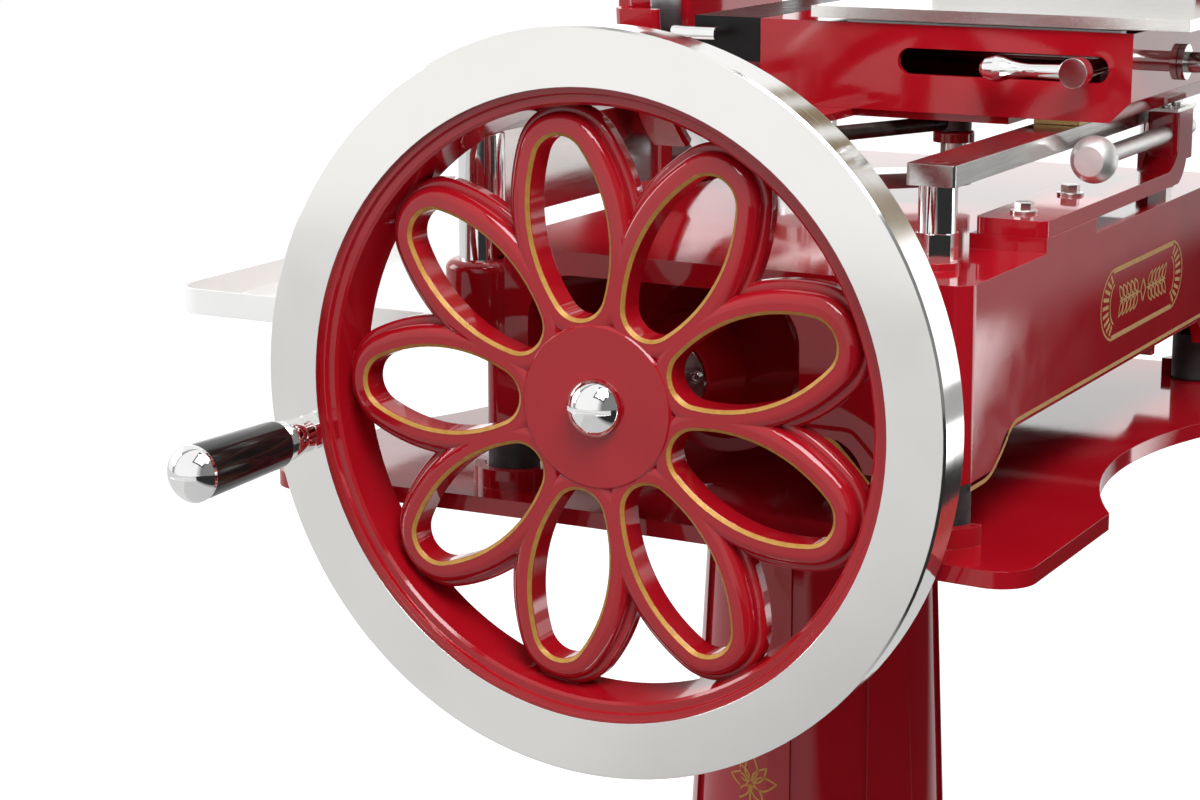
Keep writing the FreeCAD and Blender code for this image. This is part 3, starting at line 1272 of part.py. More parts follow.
# --- carriage --------------------------------------------------------------------------------
def carriage(wrist, rod_low):
    """The frame that runs on the rails, the shoes, the feed's housing and the carriage pin."""
    near, far = S.carriage_near, carriage_far
    gap = S.slide_gap
    rear_top = deck + S.back_rail_bottom + S.back_rail_thickness
    front_top = deck + S.front_rail_bottom + S.front_rail_thickness
    bridge_low = front_top + gap + 4
    bridge_high = bridge_low + S.bridge_thickness
    front = -S.base_front - S.front_rail_width / 2 - 1
    inside = S.housing_wall
    house_low, house_high = deck + S.housing_bottom, deck + S.housing_top
    back = S.housing_back
    wrist_x, wrist_y = wrist
    bridge = block("bridge", (far + inside + 2, front, bridge_low),
                   (near - inside - 2, S.housing_front - 1, bridge_high))
    under = house_low - S.floor_thickness
    floor = block("carriage_floor", (far + inside, S.housing_front - 12, under),
                  (near - inside, S.back_rail_y - S.back_rail_width, house_low))
    riser = block("carriage_riser", (far + inside + 2, S.housing_front - 12, under),
                  (near - inside - 2, S.housing_front - 1, bridge_high))
    tongue = extruded("tongue", [
        (near - 40, wrist_y - S.tongue_width / 2), (wrist_x, wrist_y - S.tongue_width / 2),
        (wrist_x, wrist_y + S.tongue_width / 2), (near - 40, wrist_y + S.tongue_width / 2),
    ], under, house_low, arcs={1: round_end(S.tongue_width / 2)})
    pin = cylinder("carriage_pin", S.wrist_radius, house_low - rod_low + 3,
                   (wrist_x, wrist_y, rod_low))
    node("carriage_frame", fuse("carriage_joined", [bridge, floor, riser, tongue, pin]))
    cover_high = house_high
    cover_back = S.housing_front - 1.5
    shell = block("cover_body", (far + 8, S.cover_front, bridge_high),
                  (near - 4, cover_back, cover_high))
    shell_room = block("cover_room", (far + 12, S.cover_front + 4, bridge_high - 1),
                       (near - 8, cover_back - 4, cover_high - 4))
    node("slide_cover", cut("cover_hollow", shell, [shell_room]))
    bar_z = cover_high - 12
    bar_x = near + 18
    grip = ease("handle_bar", block("handle_blank", (bar_x - 5, S.cover_front - 8, bar_z - 5),
                                    (bar_x + 5, S.cover_front + 30, bar_z + 5)), 4,
                lambda edge: edge.BoundBox.YLength > 30)
    stem = cylinder("handle_stem", 4, bar_x - near + 4, (near - 4, S.cover_front + 20, bar_z), "X")
    node("carriage_handle", fuse("handle_joined", [grip, stem]))
    width = S.back_rail_width / 2
    shoes = []
    for x in (far + 12, near - 52):
        shoes.append(block("rear_shoe", (x, S.back_rail_y - width, rear_top + gap),
                           (x + 40, S.back_rail_y + width, house_low)))
        shoes.append(block("front_shoe", (x, -S.base_front - 11, front_top + gap),
                           (x + 40, 11 - S.base_front, bridge_low)))
    node("carriage_shoes", group("shoe_set", shoes))

    bevelled = S.housing_bevel
    outer = extruded("housing_outer", [
        (S.housing_front, house_low), (back - bevelled, house_low),
        (back, house_low + bevelled), (back, house_high), (S.housing_front, house_high),
    ], far, near, "YZ_Plane")
    room = extruded("housing_room", [
        (S.housing_front + inside, house_low - 1), (back - bevelled - inside, house_low - 1),
        (back - inside, house_low + bevelled), (back - inside, house_high - inside),
        (S.housing_front + inside, house_high - inside),
    ], far + inside, near - inside, "YZ_Plane")
    middle = deck + S.slot_middle
    slot = ease("slot", block("slot_block", (near - 20, S.slot_start, middle - S.slot_height / 2),
                              (near + 5, S.slot_end, middle + S.slot_height / 2)),
                S.slot_height / 2 - 0.5, lambda edge: edge.BoundBox.XLength > 20)
    screw_way = cylinder("screw_way", S.screw_radius + S.shaft_fit, 60,
                         (S.screw_x, back - 40, deck + S.screw_height), "Y")
    nut_way = block("nut_way", (S.screw_x - 16, S.slot_start - 10, house_high - inside - 1),
                     (S.screw_x + 16, S.slot_end + 4, house_high + 1))
    node("feed_housing", cut("housing_cut", outer, [room, slot, screw_way, nut_way]))


def feed_table():
    """The meat table with its fence, nut and clamp; it is fed towards the knife by a screw."""
    near, far = S.carriage_near, carriage_far
    low = deck + S.table_bottom
    top = low + S.table_depth
    front, back = S.table_front, S.table_back
    lip, sheet_depth = S.table_lip, S.table_sheet
    tray = block("table_body", (far - lip, front, low), (near + lip, back, top))
    under = block("table_under", (far - lip + sheet_depth, front + sheet_depth, low - 1),
                  (near + lip - sheet_depth, back - sheet_depth, top - sheet_depth))
    fence = block("table_fence", (far - lip, front, top),
                  (far - lip + S.fence_thickness, back - 20, top + S.fence_height))
    runners = [block("table_runner", (x, front + 20, deck + S.housing_top + S.slide_gap),
                     (x + 14, back - 60, top - sheet_depth)) for x in (far + 22, near - 36)]
    node("meat_table", fuse("table_joined", [cut("table_folded", tray, [under]), fence]
                            + runners))
    x, z = S.screw_x, deck + S.screw_height
    nut_y = S.slot_end - 30
    nut_body = block("nut_body", (x - 14, nut_y, z - 14), (x + 14, nut_y + 26, top - sheet_depth))
    lever_z = deck + S.slot_middle
    nut_arm = block("nut_arm", (x, nut_y + 2, z - 14), (x + 60, nut_y + 24, z - 5))
    nut_eye = cylinder("nut_eye", S.lever_shaft + 4, 14, (x + 46, lever_y, lever_z), "X")
    node("table_nut", cut("nut_bored", fuse("nut_joined", [nut_body, nut_arm, nut_eye]), [
        cylinder("nut_bore", S.screw_radius + S.shaft_fit, 60, (x, nut_y - 10, z), "Y"),
        cylinder("lever_bore", S.lever_shaft + S.shaft_fit, 40, (x + 30, lever_y, lever_z), "X")]))
    start = S.housing_front + S.housing_wall + 2
    end = S.table_back + 7
    node("feed_screw", fuse("screw_joined", [
        cylinder("screw_bar", S.screw_radius, end - start, (x, start, z), "Y"),
        cylinder("screw_collar", S.screw_radius + 6, 5, (x, S.housing_back + S.slide_gap, z),
                 "Y")]))
    arm = cylinder("feed_hub", 13, 14, (x, end, z), "Y")
    crank = block("feed_arm", (x - 8, end + 3, z - 62), (x + 8, end + 11, z))
    knob = cylinder("feed_knob_pin", 5, 26, (x, end + 3, z - 62), "Y")
    knob_ball = ball("feed_knob", 11, (x, end + 36, z - 62))
    node("feed_handle", fuse("feed_handle_joined", [arm, crank, knob, knob_ball]))
    post_x, post_y = far + 30, back - 42
    node("clamp_post", fuse("post_joined", [
        cylinder("post_foot", 20, 8, (post_x, post_y, top)),
        cylinder("post_stem", S.post_radius, S.post_height, (post_x, post_y, top)),
        ball("post_ball", S.post_radius + 2, (post_x, post_y, top + S.post_height)),
    ]))
    bore = S.post_radius + S.shaft_fit
    clamp_z = top + S.post_height - 62
    sleeve = cylinder("clamp_sleeve", S.post_radius + 9, 40, (post_x, post_y, clamp_z))
    beam = block("clamp_beam", (post_x, post_y - 9, clamp_z + 10),
                 (post_x + S.clamp_reach, post_y + 9, clamp_z + 28))
    plate = block("clamp_plate_body", (post_x + S.clamp_reach - 14, front + 24, clamp_z - 22),
                  (post_x + S.clamp_reach + 60, post_y + 12, clamp_z - 16))
    stem = cylinder("clamp_stem", 7, 34, (post_x + S.clamp_reach, post_y, clamp_z - 20))
    teeth = [cone("clamp_tooth", 3.5, 0.5, 12,
                  (post_x + S.clamp_reach - 4 + 18 * column, front + 36 + 30 * row, clamp_z - 22),
                  "-Z") for row in range(7) for column in range(4)]
    knob = [
        cylinder("knob_screw", 5, 14, (post_x, post_y + S.post_radius + 6, clamp_z + 20), "Y"),
        prism("knob_wings", 8, 15, 12, (post_x, post_y + S.post_radius + 19, clamp_z + 20), "Y"),
    ]
    node("meat_clamp", cut("clamp_bored", fuse("clamp_joined", [sleeve, beam, plate, stem]
                                               + knob + teeth), [
        cylinder("clamp_bore", bore, 80, (post_x, post_y, clamp_z - 10))]))


def release_lever():
    """The lever that lifts the half nut off the screw; it travels in the housing's slot."""
    z = deck + S.slot_middle
    y = lever_y
    near = S.carriage_near
    start = S.screw_x + 38
    shaft = cylinder("lever_shaft", S.lever_shaft, near + 20 - start, (start, y, z), "X")
    hub = cylinder("lever_hub", 11, 14, (near + 18, y, z), "X")
    arm = revolved("lever_handle", [
        (0, 0), (6, 0), (5, 30), (9, 56), (10, 62), (8, 70), (4, 74), (0, 75),
    ], (near + 25, y, z), "-Y", arcs={2: -60})
    node("release_lever", fuse("lever_joined", [shaft, hub, arm]))


# --- slice side ------------------------------------------------------------------------------
def slice_side():
    """The slice tray on its bars and the swinging deflector."""
    near, far, front, back = S.tray_near, S.tray_far, S.tray_front, S.tray_back
    top = deck + S.tray_top
    low = top - S.tray_depth
    pan = ease("tray_outer", block("tray_block", (far, front, low), (near, back, top)),
               S.tray_corner, upright)
    sheet_depth = S.tray_sheet
    room = ease("tray_inner", block("tray_room", (far + sheet_depth, front + sheet_depth,
                                                  low + sheet_depth),
                                    (near - sheet_depth, back - sheet_depth, top + 1)),
                S.tray_corner - sheet_depth, upright)
    node("slice_tray", cut("tray_pressed", pan, [room]))
    bars = []
    for x in (far + 60, near - 60):
        z = low - S.bearer_radius - S.slide_gap
        bars.append(cylinder("tray_bar", S.bearer_radius, -S.base_front - front - 30,
                             (x, front + 30, z), "Y"))
    plane = S.deflector_plane
    thick = S.deflector_sheet
    low, high = deck + S.deflector_bottom, deck + S.deflector_top
    sheet_body = extruded("deflector_sheet", [
        (plane, low), (plane + thick, low), (plane + thick, high), (plane, high),
    ], S.deflector_far, S.deflector_near, "YZ_Plane")
    arm_z = high - 24
    lugs = [tube("deflector_eye", S.hinge_radius + 5, S.hinge_radius + S.shaft_fit, 14,
                 (S.hinge_x, plane, arm_z)),
            block("deflector_arm", (S.deflector_near - 30, plane, arm_z),
                  (S.hinge_x - S.hinge_radius - 1, plane + thick + 3, arm_z + 14))]
    node("slice_deflector", fuse("deflector_joined", [sheet_body] + lugs))
    shelf = deck + 140
    bracket = fuse("deflector_bracket", [
        block("bracket_shelf", (S.hinge_x - 12, plane - 12, shelf),
              (S.hinge_x + 12, -S.base_front, shelf + 10)),
        cylinder("bracket_end", 14, 10, (S.hinge_x, plane, shelf))])
    post = fuse("deflector_post", [
        bracket,
        cylinder("deflector_stem", S.hinge_radius, arm_z + 22 - shelf - 10,
                 (S.hinge_x, plane, shelf + 10)),
        cylinder("deflector_collar", S.hinge_radius + 5, 6,
                 (S.hinge_x, plane, arm_z - 6 - S.slide_gap))])
    node("side_supports", group("side_support_set", bars + [post]))


def sharpener():
    """The sharpener on the guard ring: a hinged head with two stones and their knobs."""
    x = S.knife_x
    low = knife_z + S.guard_radius
    half = S.sharpener_width / 2
    y_low, y_high = stand_back - 30, knife_back + 30
    hinge_y, hinge_z = stand_back - 6, low + 12
    mount = fuse("mount_joined", [
        block("mount_foot", (x - 14, stand_back, low - 2), (x + 14, stand_back + 16, low + 4)),
        cylinder("mount_barrel", 7, 28, (x - 14, hinge_y, hinge_z), "X"),
        cylinder("mount_pin", 4, 2 * half, (x - half, hinge_y, hinge_z), "X"),
        block("mount_web", (x - 14, stand_back - 12, low - 2), (x + 14, stand_back + 1, hinge_z)),
    ])
    node("sharpener_mount", cut("mount_seated", mount, [
        cylinder("mount_seat", S.guard_radius, 60, (x, stand_back - 20, knife_z), "Y")]))
    body = extruded("sharpener_shell", [
        (x - half, low + 6), (x + half, low + 6), (x + half, low + S.sharpener_height - half),
        (x - half, low + S.sharpener_height - half),
    ], y_low, y_high, "XZ_Plane", arcs={2: round_end(half)})
    way = block("sharpener_way", (x - half + 6, y_low + 6, low - 1),
                (x + half - 6, y_high - 6, low + 38))
    pin_hole = cylinder("sharpener_eye", 4 + S.shaft_fit, 2 * half + 2,
                        (x - half - 1, hinge_y, hinge_z), "X")
    stone_z = low + 24
    axle_hole = cylinder("axle_hole", 3 + S.shaft_fit, y_high - y_low + 2,
                         (x, y_low - 1, stone_z), "Y")
    node("sharpener_body", cut("sharpener_slotted", body, [way, pin_hole, axle_hole]))
    stones = [cylinder("stone_axle", 3, y_high - y_low - 2, (x, y_low + 1, stone_z), "Y")]
    for y in (S.knife_plane - 9 - S.stone_thickness, S.knife_plane + 9):
        stones.append(cylinder("stone", S.stone_radius * 0.7, S.stone_thickness,
                               (x, y, stone_z), "Y"))
    node("sharpening_stones", fuse("stone_set", stones))
    knobs = []
    z = low + S.sharpener_height - half
    for y, turn in ((y_high, "Y"), (y_low, "-Y")):
        out = 12 if turn == "Y" else -12
        knobs.append(fuse("sharpener_knob", [cylinder("knob_neck", 6, 12, (x, y, z), turn),
                                             cylinder("knob_head", 13, 12, (x, y + out, z), turn)]))
    node("sharpener_knobs", group("knob_set", knobs))


pedestal_foot()
pedestal_column()
stand_plate()
stand_bolts()
machine_feet()
base_casting()
bearing_pieces()
rails()
regulator()
handle_pieces(flywheel())
crank_pin = crank_drive()
wrist_pin, rod_level = connecting_rod(crank_pin)
knife_drive()
knife_stand()
carriage(wrist_pin, rod_level)
feed_table()
release_lever()
slice_side()
sharpener()
node("frame_screws", group("frame_screw_set", SCREWS))

# ---------------------------------------------------------------------------------------------
# Every object is checked before anything is written.
# ---------------------------------------------------------------------------------------------
doc.recompute()
faults = []
for item in doc.Objects:
    if any(state in ("Invalid", "Error") for state in item.State):
        faults.append("%s: %s" % (item.Name, ", ".join(item.State)))
for item in NODES:
    if item.Shape.isNull() or not item.Shape.isValid() or not item.Shape.Solids:
        faults.append("%s has no valid solid" % item.Label)
if len({item.Label for item in NODES}) != len(NODES):
    faults.append("two sub-parts share a name")
if faults:
    raise RuntimeError("the model has faults:\n" + "\n".join(faults))
os.makedirs("parts", exist_ok=True)
for item in NODES:
    item.Shape.exportStep(os.path.join("parts", item.Label + ".step"))
    box = item.Shape.BoundBox
    print("%-20s %2d solids  x %7.1f %7.1f  y %7.1f %7.1f  z %7.1f %7.1f" % (
        item.Label, len(item.Shape.Solids), box.XMin, box.XMax, box.YMin, box.YMax, box.ZMin,
        box.ZMax))
print(len(NODES), "sub-parts")
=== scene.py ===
# %% [markdown]
# # Dressing a hand cranked slicer
#
# The machine stands on a cast pedestal. Most of it is cast iron under deep red enamel, and what a
# hand or the meat touches is polished, chromed or brushed. What is left to make is the light, the
# finishes and the painted lines, so this lesson is mostly about materials.

import json
import math

import bmesh
import bpy
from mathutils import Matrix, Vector


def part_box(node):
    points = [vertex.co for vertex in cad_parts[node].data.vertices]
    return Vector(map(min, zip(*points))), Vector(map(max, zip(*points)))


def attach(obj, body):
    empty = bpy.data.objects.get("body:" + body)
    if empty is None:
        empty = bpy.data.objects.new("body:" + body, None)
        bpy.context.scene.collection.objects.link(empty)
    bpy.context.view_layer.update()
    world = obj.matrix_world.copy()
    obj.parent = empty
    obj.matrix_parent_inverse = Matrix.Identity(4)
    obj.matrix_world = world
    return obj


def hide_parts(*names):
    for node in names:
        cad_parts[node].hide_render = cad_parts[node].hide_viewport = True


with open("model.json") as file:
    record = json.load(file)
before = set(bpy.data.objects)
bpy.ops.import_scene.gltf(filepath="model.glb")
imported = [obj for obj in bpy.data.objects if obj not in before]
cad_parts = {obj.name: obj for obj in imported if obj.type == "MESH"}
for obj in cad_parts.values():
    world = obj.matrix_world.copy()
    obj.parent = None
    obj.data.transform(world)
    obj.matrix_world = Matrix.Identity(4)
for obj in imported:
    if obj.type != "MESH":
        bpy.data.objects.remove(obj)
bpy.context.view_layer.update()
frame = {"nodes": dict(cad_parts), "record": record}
nodes = frame["nodes"]

# %% [markdown]
# ## The camera
#
# The view looks past the flywheel along the machine, a little from above. A long lens keeps the
# wheel nearly round. We say where the camera stands and which way its back points; `to_track_quat`
# turns the opposite of that into a rotation whose top stays up.

# %% Set up the camera
camera_place = Vector((1.985, 0.865, 1.275))
camera_back = Vector((0.8589, 0.4638, 0.2171))

lens = bpy.data.cameras.new("camera")
lens.lens = 81.82
lens.sensor_width = 36
camera = bpy.data.objects.new("camera", lens)
camera.location = camera_place
camera.rotation_mode = "QUATERNION"
camera.rotation_quaternion = (-camera_back).to_track_quat("-Z", "Y")
bpy.context.scene.collection.objects.link(camera)
bpy.context.scene.camera = camera
print("camera stands", round(camera_place.length, 2), "m from the foot of the column")

# %% [markdown]
# ## A white studio
#
# Chrome has no colour of its own: it shows the room. So the room matters more here than the lamps.
# Three kinds of rays ask the world for its colour. The camera gets plain white. Soft light that
# falls on matt surfaces is an even grey, darker on the feeding side. What mirrors see is drawn with
# care: nearly white behind the machine, a darker side towards the feeding table, two narrow grey
# flags that draw the dark lines on round posts, and a square soft box with a dark frame high over
# the wheel, which every dome and ball then shows as a small bright window. Behind the machine the
# backdrop is overlit near the ground, which turns the flat tops white at a low angle. Above that
# glare stand brown slats, and they end up as a slanted pattern on the wheel's outer face.

# %% Paint the world
bpy.context.scene.view_settings.view_transform = "Standard"

BOX_DIRECTION = Vector((0.483, 0.389, 0.792)).normalized()
BOX_REACH = 0.27
FRAME_REACH = 0.34
FLAG_TURNS = (math.radians(-72), math.radians(124))
BACKDROP, DARK_SIDE = 1.10, 0.25
FLAG, BOX_FRAME, SOFT_BOX = 0.32, 0.06, 1.6
GLARE, SLATS = 1.6, 0.42
EVEN_LIGHT, EVEN_SHADE = 0.50, 0.24
SLAT_BROWN = (0.62, 0.44, 0.24, 1)


def add(tree_owner, kind, **inputs):
    """A node in a material or a world, with its inputs set or linked."""
    node = tree_owner.node_tree.nodes.new("ShaderNode" + kind)
    for socket, value in inputs.items():
        target = node.inputs[socket.replace("_", " ")]
        if isinstance(value, bpy.types.NodeSocket):
            tree_owner.node_tree.links.new(value, target)
        else:
            target.default_value = value
    return node


def calculate(tree_owner, operation, first, second=0.0):
    """One sum of two numbers or sockets."""
    node = tree_owner.node_tree.nodes.new("ShaderNodeMath")
    node.operation = operation
    for socket, value in zip(node.inputs, (first, second)):
        if isinstance(value, bpy.types.NodeSocket):
            tree_owner.node_tree.links.new(value, socket)
        else:
            socket.default_value = value
    return node.outputs["Value"]


def mix(tree_owner, factor, first, second):
    """A number that runs from the first to the second."""
    part = calculate(tree_owner, "MULTIPLY", second, factor)
    rest = calculate(tree_owner, "SUBTRACT", 1.0, factor)
    return calculate(tree_owner, "ADD", part, calculate(tree_owner, "MULTIPLY", first, rest))


world = bpy.data.worlds.new("studio")
bpy.context.scene.world = world
world.use_nodes = True
world.node_tree.nodes.clear()
direction = add(world, "TexCoord").outputs["Generated"]
parts = add(world, "SeparateXYZ", Vector=direction).outputs

aside = add(world, "MapRange", Value=parts["Y"], From_Min=0.35, From_Max=0.6).outputs["Result"]
mirrored = mix(world, aside, BACKDROP, DARK_SIDE)

round_about = calculate(world, "ARCTAN2", parts["Y"], parts["X"])
for middle in FLAG_TURNS:
    off_flag = calculate(world, "ABSOLUTE", calculate(world, "SUBTRACT", round_about, middle))
    flag = add(world, "MapRange", Value=off_flag, From_Min=0.16, From_Max=0.04).outputs["Result"]
    mirrored = mix(world, flag, mirrored, FLAG)

turn = BOX_DIRECTION.rotation_difference(Vector((0, 0, 1))).to_euler()
facing = add(world, "VectorRotate", Vector=direction)
facing.rotation_type = "EULER_XYZ"
facing.inputs["Rotation"].default_value = turn
square = add(world, "SeparateXYZ", Vector=facing.outputs["Vector"]).outputs
off_middle = calculate(world, "MAXIMUM", calculate(world, "ABSOLUTE", square["X"]),
                       calculate(world, "ABSOLUTE", square["Y"]))
ahead = calculate(world, "GREATER_THAN", square["Z"], 0.5)
in_frame = calculate(world, "MULTIPLY", ahead,
                     calculate(world, "LESS_THAN", off_middle, FRAME_REACH))
in_box = calculate(world, "MULTIPLY", ahead, calculate(world, "LESS_THAN", off_middle, BOX_REACH))
mirrored = mix(world, in_frame, mirrored, BOX_FRAME)
mirrored = mix(world, in_box, mirrored, SOFT_BOX)

behind = add(world, "MapRange", Value=parts["X"], From_Min=-0.55, From_Max=-0.7)
below = add(world, "MapRange", Value=parts["Z"], From_Min=0.27, From_Max=0.24)
glare = calculate(world, "MULTIPLY", behind.outputs["Result"], below.outputs["Result"])
mirrored = mix(world, glare, mirrored, GLARE)
low_edge = add(world, "MapRange", Value=parts["Z"], From_Min=0.24, From_Max=0.27)
high_edge = add(world, "MapRange", Value=parts["Z"], From_Min=0.60, From_Max=0.57)
left_edge = add(world, "MapRange", Value=parts["Y"], From_Min=-0.12, From_Max=-0.09)
slats = behind.outputs["Result"]
for edge in (low_edge, high_edge, left_edge):
    slats = calculate(world, "MULTIPLY", slats, edge.outputs["Result"])
waves = calculate(world, "ADD", calculate(world, "MULTIPLY", parts["Z"], 34.0),
                  calculate(world, "MULTIPLY", parts["Y"], 60.0))
gaps = calculate(world, "GREATER_THAN", calculate(world, "SINE", waves), -0.55)
slats = calculate(world, "MULTIPLY", slats, gaps)
mirrored = mix(world, slats, mirrored, SLATS)

rays = add(world, "LightPath").outputs
brown = add(world, "ValToRGB", Fac=calculate(world, "MULTIPLY", slats, rays["Is Glossy Ray"]))
brown.color_ramp.elements[0].color = (1, 1, 1, 1)
brown.color_ramp.elements[1].color = SLAT_BROWN
level = mix(world, rays["Is Glossy Ray"], mix(world, aside, EVEN_LIGHT, EVEN_SHADE), mirrored)
level = mix(world, rays["Is Camera Ray"], level, 1.0)
sky = add(world, "Background", Color=brown.outputs["Color"], Strength=level)
add(world, "OutputWorld", Surface=sky.outputs["Background"])
print("soft box reaches", round(math.degrees(math.asin(BOX_REACH))), "degrees to each side")

# %% [markdown]
# ## Floor
#
# One large plane under the pedestal. It is matt and nearly white. To the camera it also glows
# strongly, so it ends up as white as the backdrop, with only a breath of shadow under the foot.
# Mirrors see a grey floor that is white far in front, with a painted shadow near the wheel, a
# black cloth on the right, a bright card behind that and a plain grey farther out. The polished
# band shows the floor and that shadow, the cloth gives the long side of the casting its deep red,
# the card the pale wedge on it, and the grey keeps the rail and the carriage from turning white.

# %% Lay the floor
FLOOR_REACH = 9.0
# The third shade is a painted shadow, seen only in mirrors, on the floor near the wheel.
NEAR_PAPER, FAR_PAPER, MIRRORED_SHADOW = 0.80, 1.12, 0.66
CLOTH, CARD, FAR_GREY = 0.03, 3.0, 0.45
CAMERA_GLOW = 0.86

floor_mesh = bpy.data.meshes.new("floor")
corners = [(-FLOOR_REACH, -FLOOR_REACH, 0), (FLOOR_REACH, -FLOOR_REACH, 0),
           (FLOOR_REACH, FLOOR_REACH, 0), (-FLOOR_REACH, FLOOR_REACH, 0)]
floor_mesh.from_pydata(corners, [], [(0, 1, 2, 3)])
floor = bpy.data.objects.new("floor", floor_mesh)
bpy.context.scene.collection.objects.link(floor)

paper = bpy.data.materials.new("studio_paper")
paper.use_nodes = True
matt = paper.node_tree.nodes["Principled BSDF"]
matt.inputs["Base Color"].default_value = (0.45, 0.45, 0.45, 1)
matt.inputs["Roughness"].default_value = 0.75
rays = add(paper, "LightPath").outputs
place = add(paper, "SeparateXYZ", Vector=add(paper, "TexCoord").outputs["Object"]).outputs


def step_at(value, low, high):
    """A number that runs from 0 at the first mark to 1 at the second."""
    return add(paper, "MapRange", Value=value, From_Min=low, From_Max=high).outputs["Result"]


paper_grey = mix(paper, step_at(place["X"], 5.4, 5.7), NEAR_PAPER, FAR_PAPER)
# Painted shadow: what mirrors see of the floor is darker here, near the wheel.
mirrored_shadow = calculate(paper, "MULTIPLY", step_at(place["Y"], -0.80, -0.74),
                step_at(place["X"], 3.2, 2.9))
paper_grey = mix(paper, mirrored_shadow, paper_grey, MIRRORED_SHADOW)
card_edge = calculate(paper, "ADD", place["Y"], calculate(paper, "MULTIPLY", place["X"], 0.277))
card = calculate(paper, "MULTIPLY", step_at(card_edge, 0.64, 0.68),
                 step_at(place["X"], -2.4, -2.8))
beside = mix(paper, card, CLOTH, CARD)
far_out = calculate(paper, "MULTIPLY", step_at(place["X"], -4.0, -4.4),
                    step_at(place["Y"], 1.75, 1.95))
beside = mix(paper, far_out, beside, FAR_GREY)
in_mirror = mix(paper, step_at(place["Y"], 0.5, 0.9), paper_grey, beside)
shown = add(paper, "Emission", Strength=in_mirror)
lift = add(paper, "Emission",
           Strength=calculate(paper, "MULTIPLY", rays["Is Camera Ray"], CAMERA_GLOW))
lit = add(paper, "AddShader")
paper.node_tree.links.new(matt.outputs["BSDF"], lit.inputs[0])
paper.node_tree.links.new(lift.outputs["Emission"], lit.inputs[1])
either = add(paper, "MixShader", Fac=rays["Is Glossy Ray"])
paper.node_tree.links.new(lit.outputs["Shader"], either.inputs[1])
paper.node_tree.links.new(shown.outputs["Emission"], either.inputs[2])
paper.node_tree.links.new(either.outputs["Shader"],
                          paper.node_tree.nodes["Material Output"].inputs["Surface"])
floor_mesh.materials.append(paper)
print("floor is", 2 * FLOOR_REACH, "m square")

# %% [markdown]
# ## Soft lamps
#
# Three large area lamps: one high in front of the wheel, where the mirrors see their soft box, one
# low on the operator's side and one behind. Large lamps give long soft highlights on round bars of
# enamel. Their power stays low enough that a colour comes out about as we write it. The one behind
# only lights: a mirror doesn't see it, so it doesn't hide the slats.

# %% Hang the lamps
aim = Vector((0.15, 0.0, 0.95))


def hang_lamp(name, place, width, height, power, mirrored=True):
    lamp = bpy.data.lights.new(name, "AREA")
    lamp.shape = "RECTANGLE"
    lamp.size = width
    lamp.size_y = height
    lamp.energy = power
    holder = bpy.data.objects.new(name, lamp)
    holder.location = place
    holder.rotation_mode = "QUATERNION"
    holder.rotation_quaternion = (aim - holder.location).to_track_quat("-Z", "Y")
    holder.visible_glossy = mirrored
    bpy.context.scene.collection.objects.link(holder)
    print("lamp", name, "gives", power, "W")


hang_lamp("lamp_over_wheel", aim + BOX_DIRECTION * 2.6, 1.4, 1.4, 66)
hang_lamp("lamp_operator", Vector((0.6, -2.3, 1.7)), 1.2, 1.2, 24)
hang_lamp("lamp_behind", Vector((-2.4, 0.3, 2.2)), 1.8, 0.8, 16, mirrored=False)

# %% [markdown]
# ## How a finish is put together
#
# Every finish here is one Principled shader. What is the same all over goes straight on its
# sockets. What varies comes from noise that reads the part's own coordinates, in metres, so a scale
# of 300 means about three spots in a centimetre. Four small helpers cover nearly all of it: one is
# the noise, one varies the colour, one the roughness, and one presses a fine relief into the
# surface. The relief starts from a Bevel node, which rounds every sharp edge of the solids by about
# half a millimetre, as on any casting or ground bar. Thin paint is the one finish without it.

# %% Helpers for finishes
EDGE = 0.0006


def new_finish(name, color, roughness, **sockets):
    """A material with one shader; further sockets are given by name, with _ for spaces."""
    material = bpy.data.materials.new(name)
    material.use_nodes = True
    shader = material.node_tree.nodes["Principled BSDF"]
    shader.inputs["Base Color"].default_value = (*color, 1)
    shader.inputs["Roughness"].default_value = roughness
    for socket, value in sockets.items():
        shader.inputs[socket.replace("_", " ")].default_value = value
    return material


def speckle(material, scale, stretch=(1, 1, 1), detail=3.0):
    """Noise in the part's own metres; a small stretch draws it out along that axis."""
    where = add(material, "TexCoord").outputs["Object"]
    placed = add(material, "Mapping", Vector=where, Scale=stretch)
    noise = add(material, "TexNoise", Vector=placed.outputs["Vector"], Scale=scale, Detail=detail)
    return noise.outputs["Fac"]


def tint(material, factor, first, last, low=0.3, high=0.7):
    """The colour runs between two shades."""
    ramp = add(material, "ValToRGB", Fac=factor)
    start, end = ramp.color_ramp.elements
    start.position, start.color = low, (*first, 1)
    end.position, end.color = high, (*last, 1)
    shader = material.node_tree.nodes["Principled BSDF"]
    material.node_tree.links.new(ramp.outputs["Color"], shader.inputs["Base Color"])


def gloss(material, factor, low, high):
    """The roughness runs between two numbers."""
    spread = add(material, "MapRange", Value=factor, From_Min=0.3, From_Max=0.7,
                 To_Min=low, To_Max=high)
    shader = material.node_tree.nodes["Principled BSDF"]
    material.node_tree.links.new(spread.outputs["Result"], shader.inputs["Roughness"])


def relief(material, height, depth, strength=1.0, rounded_edges=True):
    """Presses a pattern into the surface, on top of softly rounded edges."""
    bump = add(material, "Bump", Height=height, Distance=depth, Strength=strength)
    if rounded_edges:
        edge = add(material, "Bevel", Radius=EDGE)
        edge.samples = 4
        material.node_tree.links.new(edge.outputs["Normal"], bump.inputs["Normal"])
    shader = material.node_tree.nodes["Principled BSDF"]
    material.node_tree.links.new(bump.outputs["Normal"], shader.inputs["Normal"])


print("a scale of 300 gives a spot about every", round(1000 / 300, 1), "mm")

